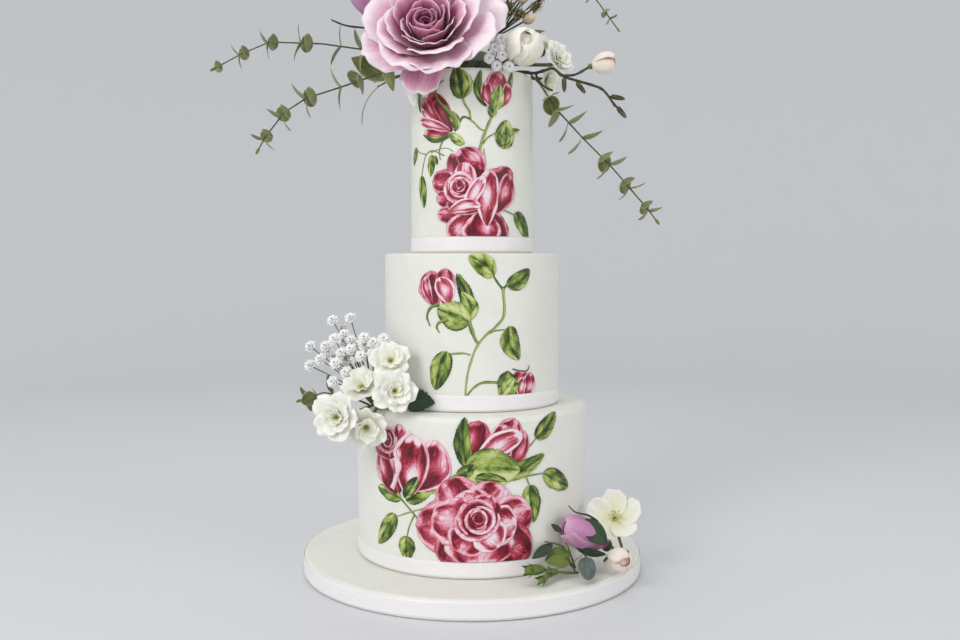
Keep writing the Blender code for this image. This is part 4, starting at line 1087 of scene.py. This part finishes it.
def buildTopFlowers():
    buildMound("posy_mound", mound["centre"], (mound["size"],) * 3, 3)
    buildFlower("top_rose", roseRings, (-34, -46, 461), (-0.1, -0.88, 0.42), rosePetal, "rose",
                heart=(1.2, 5, 20), root=moundEdge(-30, 45), stem=3, grid=(18, 16))
    buildFlower("top_rosebud", budRings, (-80, -12, 489), (-0.62, -0.18, 0.76), lilacPetal, "lilac", 0.8,
                heart=(1.5, 6, 28), root=moundEdge(-96, 52))
    buildFlower("top_peony", peonyRings, (42.7, -33, 452), (0.1, -0.85, 0.2), creamPetal, "cream_petal", 0.8,
                core=(17, 19.4), root=moundEdge(42, 22))
    for place, rings, spot, way, scale, root in (
        ("right", doubleRings, (74, -8, 453), (0.6, -0.7, 0.3), 0.75, (92, 32)),
        ("behind", singleRings, (64, 14, 468), (0.35, -0.4, 0.8), 0.7, (112, 45)),
        ("low", singleRings, (66, 16, 441), (0.8, -0.5, -0.25), 0.7, (118, 10)),
    ):
        buildFlower("top_blossom_" + place, rings, spot, way, whitePetal, "white_petal", scale,
                    stamens=(9, 7, 2.4, 0.5), root=moundEdge(*root))


def buildTopSprigs():
    for place, root, path, *values in (
        ("upper_left", (-88, 24), [(-60, -4, 462), (-96, -14, 462), (-131, -18, 466), (-175, -25, 466),
         (-198, -30, 455), (-222, -34, 441)], 8, (19, 11), 0.46, [(0.37, 0)]),
        ("lower_left", (-62, 6), [(-48, -24, 445), (-74, -33, 439), (-112, -38, 425), (-141, -42, 415),
         (-159, -47, 402), (-174, -52, 381), (-180, -55, 369)], 7, (20, 12), 0.52, [(0.42, 50)]),
        ("right", (84, 6), [(50, -8, 444), (60, -18, 431), (73, -26, 409), (96, -31, 383), (120, -37, 358),
         (152, -42, 320), (159, -45, 310)], 7, (19, 12), 0.51, [(0.27, 84), (0.34, 48), (0.42, 0)]),
        ("trailing", (60, 66), [(38, 6, 500), (70, -2, 525), (98, -8, 521), (112, -12, 502), (128, -18, 478)],
         5, (12, 7), 0.55, (), (0.8, 0.5), 1.5),
    ):
        buildSprig("eucalyptus_" + place, [moundEdge(*root), *path], *values)


def buildBark(node, branches):
    bm = startMesh()
    for points, thick, thin, knots in branches:
        addTube(bm, points, thick, thin, knots=knots)
    addPart(bm, node, "bark", brownStem, "dark_leaf")


def addSepals(bm, place, count, out, back, grid, tone, length, width, **shape):
    for number in range(count):
        base = place @ spun(number * 360 / count) @ shifted(0, out, back)
        addLeaf(bm, base, grid, tone, length, width, **shape)


def buildTwigs():
    buildBark("twig_left", [
        ([moundEdge(-104, 36), (-60, 0, 478), (-86, -4, 482), (-110, -7, 484), (-124, -8, 489)], 1.2, 0.7, 0.3),
        ([(-88, -4, 482), (-80, -4, 472), (-74, -3, 466)], 0.9, 0.8, 0.3)])
    buildBark("bud_branch", [
        ([moundEdge(66, 3), (42, -18, 441.8), (54, -32, 438), (63, -40, 439), (70, -42, 440), (79, -43, 433),
          (101, -45, 426), (112, -46, 421), (122, -49, 407)], 1.4, 1.0, 0.35),
        ([(78, -43, 434), (88, -44, 434.5), (98, -47, 439.3), (101, -47.4, 440.8)], 1.1, 1.1, 0.3),
        ([(55, -33, 438), (58, -34, 431), (63, -34, 426), (70, -33, 423)], 1.0, 0.8, 0.3),
        ([(117, -47.5, 415.5), (122, -48.5, 415)], 0.9, 0.9, 0),
        ([(121, -49, 408.5), (124, -49.5, 405.5)], 0.9, 0.9, 0),
        ([(79, -43.3, 433), (79, -43.5, 428)], 0.8, 0.8, 0),
        ([(91, -44.4, 428), (92, -45, 425)], 0.8, 0.8, 0)])
    bm = startMesh()
    for spot, direction in (((79, -43.5, 426), (0, 0, -1)), ((93, -45, 423.5), (0.6, 0, -0.8)),
                            ((124, -48.5, 414.5), (1, 0, -0.2)), ((127, -50, 402), (0.6, -0.1, -0.8))):
        place = aim(spot, direction)
        addBall(bm, place, (2.1, 2.1, 6.3), lambda z: 0.35 + 0.2 * z)
        addSepals(bm, place, 3, 2.0, -6, (4, 8), 0.3, 11, 4.2, droop=28, fold=-0.3, wave=0)
    addPart(bm, "bud_branch", "buds", oliveBud, "dark_leaf")


def buildBranchBud():
    place = buildFlower("branch_bud", roundRings, (102, -47.5, 441), (0.95, -0.15, 0.2), blushPetal,
                        "cream_petal", 0.8, core=(9, 11.2))
    bm = startMesh()
    addSepals(bm, place, 5, 1.0, -2.6, (6, 8), 0.5, 8, 5, droop=-58, fold=-0.2, wave=0)
    addBall(bm, place @ shifted(0, 0, -1.5), (3, 3, 3.4))
    addPart(bm, "branch_bud", "calyx", greenStem, "leaf")


def addTinyBlossom(bm, place, size, lift, turn):
    # a ring of small petals
    count = 5
    for number in range(count):
        def rule(across, along):
            reach = size * (0.12 + 0.88 * along * (1 - 0.14 * across * across))
            half = 0.72 * math.sin(math.pi * min(1, 0.25 + along * 0.5))
            angle = across * half * 1.15
            height = size * (lift * along + 0.12 * math.sin(4 * across + number) * along)
            return Vector((reach * math.cos(angle), reach * math.sin(angle), height))

        base = place @ spun(turn + 360 * number / count)
        addSheet(bm, 4, 3, rule, base, lambda across, along: 0.4 + 0.5 * along)


def buildSmallWhites(name, spots, root, size, seed):
    # many small heads on thin stems: each has three rings of petals round a dot
    chance = random.Random(seed)
    root = Vector(root)
    petals, dots, stems = startMesh(), startMesh(), startMesh()
    for spot in map(Vector, spots):
        place = aim(spot, (spot - root).normalized() + Vector((0, -0.8, 0)))
        first = chance.uniform(0, 72)
        for rise, share, lift, turn in ((-0.1, 0.95, -0.1, 0), (0, 0.85, 0.2, 36), (0.12, 0.6, 0.45, 12)):
            addTinyBlossom(petals, place @ shifted(0, 0, size * rise), size * share, lift, first + turn)
        dot = (size * 0.09, size * 0.09, size * 0.14)
        addBall(dots, place @ shifted(0, 0, size * 0.32), dot, segments=8, rings=5)
        addTube(stems, [spot, spot.lerp(root, 0.5) + Vector((0, 0, 2)), root], 0.45, 0.5, sides=6)
    addPart(petals, name, "petals", smallPetal, "white_petal", 0.3)
    addPart(dots, name, "dots", seedDot, "white_petal")
    addPart(stems, name, "stems", greenStem, "white_petal")


def buildDried():
    # scaly heads on stiff stems, two of them smooth seed heads
    spots = [(32, -26, 496), (41, -22, 491), (50, -20, 487), (56, -18, 498), (35, -20, 510), (45, -22, 505),
             (62, -14, 508), (50, -16, 519)]
    smooth, scales, golden = (2, 5), 42, 137.5
    root = Vector((16, -6, 471.5))
    chance = random.Random(8)
    fuzz, seeds, stems = startMesh(), startMesh(), startMesh()
    for number, spot in enumerate(map(Vector, spots)):
        place = aim(spot, spot - root)
        addTube(stems, [spot, spot.lerp(root, 0.5), root], 0.8, 0.7, sides=6)
        if number in smooth:
            addBall(seeds, place, (4.6, 4.6, 6.2), lambda z: 0.5 + 0.3 * z)
            continue
        addBall(fuzz, place, (3.0, 3.0, 4.5), lambda z: 0.3)
        for scale in range(scales):
            rise = 1 - 2 * (scale + 0.5) / scales
            turn = math.radians(scale * golden)
            way = Vector((math.cos(turn), math.sin(turn), rise * 1.3))
            spine = shifted(*way * 2.4) @ way.to_track_quat("Z", "Y").to_matrix().to_4x4()
            addLeaf(fuzz, place @ spine, (2, 4), chance.uniform(0.1, 0.9), chance.uniform(2.6, 4.4),
                    chance.uniform(1.2, 2.0), droop=chance.uniform(-50, 70), wave=0)
    addPart(fuzz, "dried_filler", "scales", driedHead, "bronze_leaf", 0.2)
    addPart(seeds, "dried_filler", "seed-heads", seedHead, "bronze_leaf")
    addPart(stems, "dried_filler", "stems", brownStem, "bronze_leaf")


def buildTopLeaves():
    dark, sage, bronze = (deepLeaf, "dark_leaf"), (eucalyptus, "sage_leaf"), (bronzeLeaf, "bronze_leaf")
    for name, root, stalk, direction, facing, look, shape in (
        ("dark_left", (-84, 14), [(-60, -12, 450), (-86, -22, 440)], (-0.3, -0.1, 1), (0, -1, 0), dark,
         {"length": 23, "width": 15, "droop": 5, "teeth": 9}),
        ("grey_left", (-94, 3), [(-56, 4, 444), (-87, -6, 435)], (-0.85, -0.1, 0.45), (0, -1, 0.3), sage,
         {"length": 37, "width": 21, "droop": -6}),
        ("long_left", (-46, 3), [(-42, -35, 441), (-66, -44, 431), (-80, -45, 424)], (-0.85, -0.05, -0.5),
         (-0.45, -0.4, 0.8), sage, {"length": 42, "width": 6, "droop": 65}),
        ("small_left", (-36, 3), [(-36, -40, 445), (-62, -50, 449), (-79, -54, 447)], (0.2, -0.1, -0.97),
         (-0.3, -0.9, 0), sage, {"length": 30, "width": 11, "droop": 8}),
        ("pale_left", (-28, 3), [(-29, -42, 443), (-45, -49, 436), (-57, -50, 429)], (0.15, -0.05, -1),
         (-0.3, -0.9, 0), (paleLeaf, "white_petal"), {"length": 26, "width": 10, "droop": 5}),
        ("dark_right", (0, 4), [(5, -34, 443)], (0.25, -0.9, 0.25), (0, 0.3, 1), dark,
         {"length": 22, "width": 18}),
        ("bronze_right", (72, 48), [(56, -16, 478)], (0.8, -0.35, 0.4), (0, -0.6, 0.8), bronze,
         {"length": 24, "width": 12}),
    ):
        buildLeaf("leaf_" + name, [moundEdge(*root), *stalk], direction, facing, *look, **shape)
    for number, azimuth in enumerate((148, 182, 214)):
        turn = math.radians(azimuth)
        way = Vector((math.sin(turn), -math.cos(turn), 0.25))
        start = Vector(moundEdge(azimuth, 12))
        buildLeaf(f"leaf_back_{number + 1}", [start, start + way * 9], way, (0, 0, 1), *dark, 30, 20, droop=35)


buildTopFlowers()
buildTopSprigs()
buildTwigs()
buildBranchBud()
waxSpots = [(24.5, -56, 462), (19.5, -56, 455), (26, -58, 448), (21.5, -55, 440), (31.5, -56, 439),
            (17, -54, 463), (15, -56, 446)]
buildSmallWhites("waxflowers", waxSpots, (19, -24, 443.5), 5.2, 21)
buildDried()
buildTopLeaves()
print("posy made")


# The white flowers on the ledge of the bottom tier


def buildSideGroup():
    x, y, z = centre = (-76, -50, 150.3)
    reach = 9.5  # from the mound's middle to a stem's root
    buildMound("side_mound", centre, (7, 7, 8), 9)
    for place, rings, spot, way, scale, azimuth, via in (
        ("right", doubleRings, (-63, -90, 169.5), (0.2, -0.95, 0.25), 0.86, 25, ()),
        ("left", doubleRings, (-107, -98, 150), (-0.3, -0.92, 0.1), 0.94, -42, ()),
        ("middle", singleRings, (-91, -68, 168), (-0.15, -0.65, 0.74), 0.85, -75, ()),
        ("upper", singleRings, (-67, -75, 192), (0.05, -0.85, 0.5), 0.8, 62, ()),
        ("lower", singleRings, (-86, -90, 142), (0.1, -0.95, -0.3), 0.86, -8, [(-78, -79, 154)]),
    ):
        turn = math.radians(azimuth)
        root = (x + reach * math.sin(turn), y - reach * math.cos(turn), z + 4)
        buildFlower("side_blossom_" + place, rings, spot, way, whitePetal, "white_petal", scale, azimuth,
                    stamens=(9, 7, 2.4, 0.5), root=root, via=via, stem=1.2)
    spots = [(-122, -30, 225), (-107, -25, 227), (-115, -20, 217), (-118, -50, 210), (-92, -50, 211),
             (-142, -30, 202), (-127, -40, 203), (-113, -30, 206), (-104, -50, 201), (-84, -52, 207),
             (-74, -62, 211), (-65, -64, 203), (-131, -45, 192), (-116, -58, 190), (-94, -56, 196),
             (-141, -40, 186), (-107, -58, 182), (-118, -60, 174), (-108, -45, 191), (-84, -56, 198),
             (-111, -36, 213), (-105, -40, 208), (-99, -42, 204), (-78, -54, 204), (-70, -62, 196),
             (-124, -40, 197), (-100, -48, 194), (-92, -48, 203), (-112, -50, 198)]
    buildSmallWhites("side_gypsophila", spots, (-86, -37, 153.9), 6.0, 31)
    buildSprig("side_eucalyptus", [(-88, -48, 152.5), (-104, -50, 160), (-128, -46, 163), (-150, -40, 155)], 3,
               (18, 12), 0.5)
    buildLeaf("side_leaf", [(-61, -57, 153), (-57, -68, 164)], (0.93, -0.5, 0.0), (0.1, -1, 0.3), deepLeaf,
              "dark_leaf", 30, 20, teeth=10)


buildSideGroup()
print("side flowers made")


# The flowers on the drum


def buildSepals():
    # the rosebud's green calyx: a broad leaf over it, one under it, a curled one and a tip
    bm = startMesh()
    for base, way, facing, length, width, shape in (
        ((112.5, -84, 41), (-18, 1, 19), (0.25, -0.85, 0.45), 28, 18, {"belly": 1.15, "blunt": 0.55}),
        ((113, -80, 31), (-25, -6, 5), (0.1, -0.8, -0.6), 27, 10, {}),
        ((75, -86, 52), (-9, -1, 7), (-0.2, -0.9, 0.3), 11, 5, {}),
    ):
        addLeaf(bm, aim(base, way, facing), (10, 14), 0.4, length, width, droop=12, **shape)
    addPart(bm, "lower_rosebud", "sepals", deepLeaf, "dark_leaf", 0.4)
    bm = startMesh()
    addTube(bm, [(106, -76, 58), (98, -79, 64), (87, -80, 67), (81, -81, 73)], 1.2, 0.4)
    addBall(bm, aim((115, -68.5, 35.5), (-43, -14, 22)), (5.4, 5.4, 4.2))
    addPart(bm, "lower_rosebud", "calyx", brownStem, "dark_leaf")


def buildLowerLeaves():
    dark, grey, green = (deepLeaf, "dark_leaf"), (greyLeaf, "sage_leaf"), (greenLeaf, "leaf")
    for name, stalk, direction, facing, look, length, width, shape in (
        ("grey", [(101, -76, 20), (98, -86, 26), (93.5, -89, 34.5)], (-0.05, -0.92, -0.3), (0, -0.4, 0.9), grey,
         34, 14.5, {"droop": -6, "blunt": 0.5}),
        ("green", [(87, -80, 20), (79, -88, 43)], (-0.9, -0.36, -0.2), (0, -0.8, 0.6), green, 24, 16,
         {"droop": -8}),
        ("low", [(86, -88, 20), (79, -95, 34)], (-0.86, -0.5, 0.15), (0, -0.8, 0.6), green, 26, 11,
         {"droop": -8, "tone": 0.8}),
        ("dark", [(84, -76, 20), (77, -82, 38), (61, -88.5, 44.5)], (-0.62, -0.76, -0.25), (-0.3, -0.9, 0.3),
         dark, 31, 9, {"droop": -10, "teeth": 9}),
    ):
        buildLeaf("lower_leaf_" + name, stalk, direction, facing, *look, length, width, **shape)


def buildGreenBuds():
    bm = startMesh()
    addTube(bm, [(88, -94, 20), (76, -103, 23), (58, -112, 28.5)], 1.2, 1.2)
    addTube(bm, [(72, -105, 24), (62, -116, 23.5)], 1.0, 1.0)
    for spot, wide, tall, way in (((51, -116, 29.5), 6, 11, (-0.7, -0.5, 0.1)),
                                  ((58.5, -119, 23.4), 4, 8, (-0.6, -0.7, -0.15)),
                                  ((65, -110, 26), 3.5, 7, (-0.6, -0.5, 0.1))):
        place = aim(spot, way)
        addBall(bm, place, (wide * 0.75, wide * 0.75, tall * 0.9), lambda z: 0.6 + 0.2 * z)
        addSepals(bm, place, 5, 1.5, -tall, (6, 10), 0.4, tall * 1.9, wide * 0.95, droop=-30, fold=-0.3,
                  wave=0.3)
    addPart(bm, "lower_green_buds", "sepals", greenLeaf, "leaf")


def buildLowerGroup():
    buildFlower("lower_rosebud", budRings, (114, -68, 36), (-43, -14, 22), lilacPetal, "lilac", 0.9,
                heart=(1.5, 6, 34), root=(126, -62, 19.5), stem=1.5)
    buildSepals()
    buildFlower("lower_blossom", cuppedRings, (125, -42, 51), (-0.1, -0.82, 0.52), whitePetal, "white_petal",
                stamens=(16, 12, 5, 0.7), root=(134, -32, 19.5), turn=54, stem=1.3, grid=(16, 14))
    buildFlower("lower_white_bud", roundRings, (120, -79, 29.6), (0.25, -0.95, 0.02), blushPetal,
                "cream_petal", 0.9, core=(9, 11), root=(114, -60, 19.5), stem=1.3)
    buildLowerLeaves()
    buildGreenBuds()


buildLowerGroup()
print("drum flowers made")

for box in (cadBox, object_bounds()):
    str([list(corner) for corner in box]) + "\n"
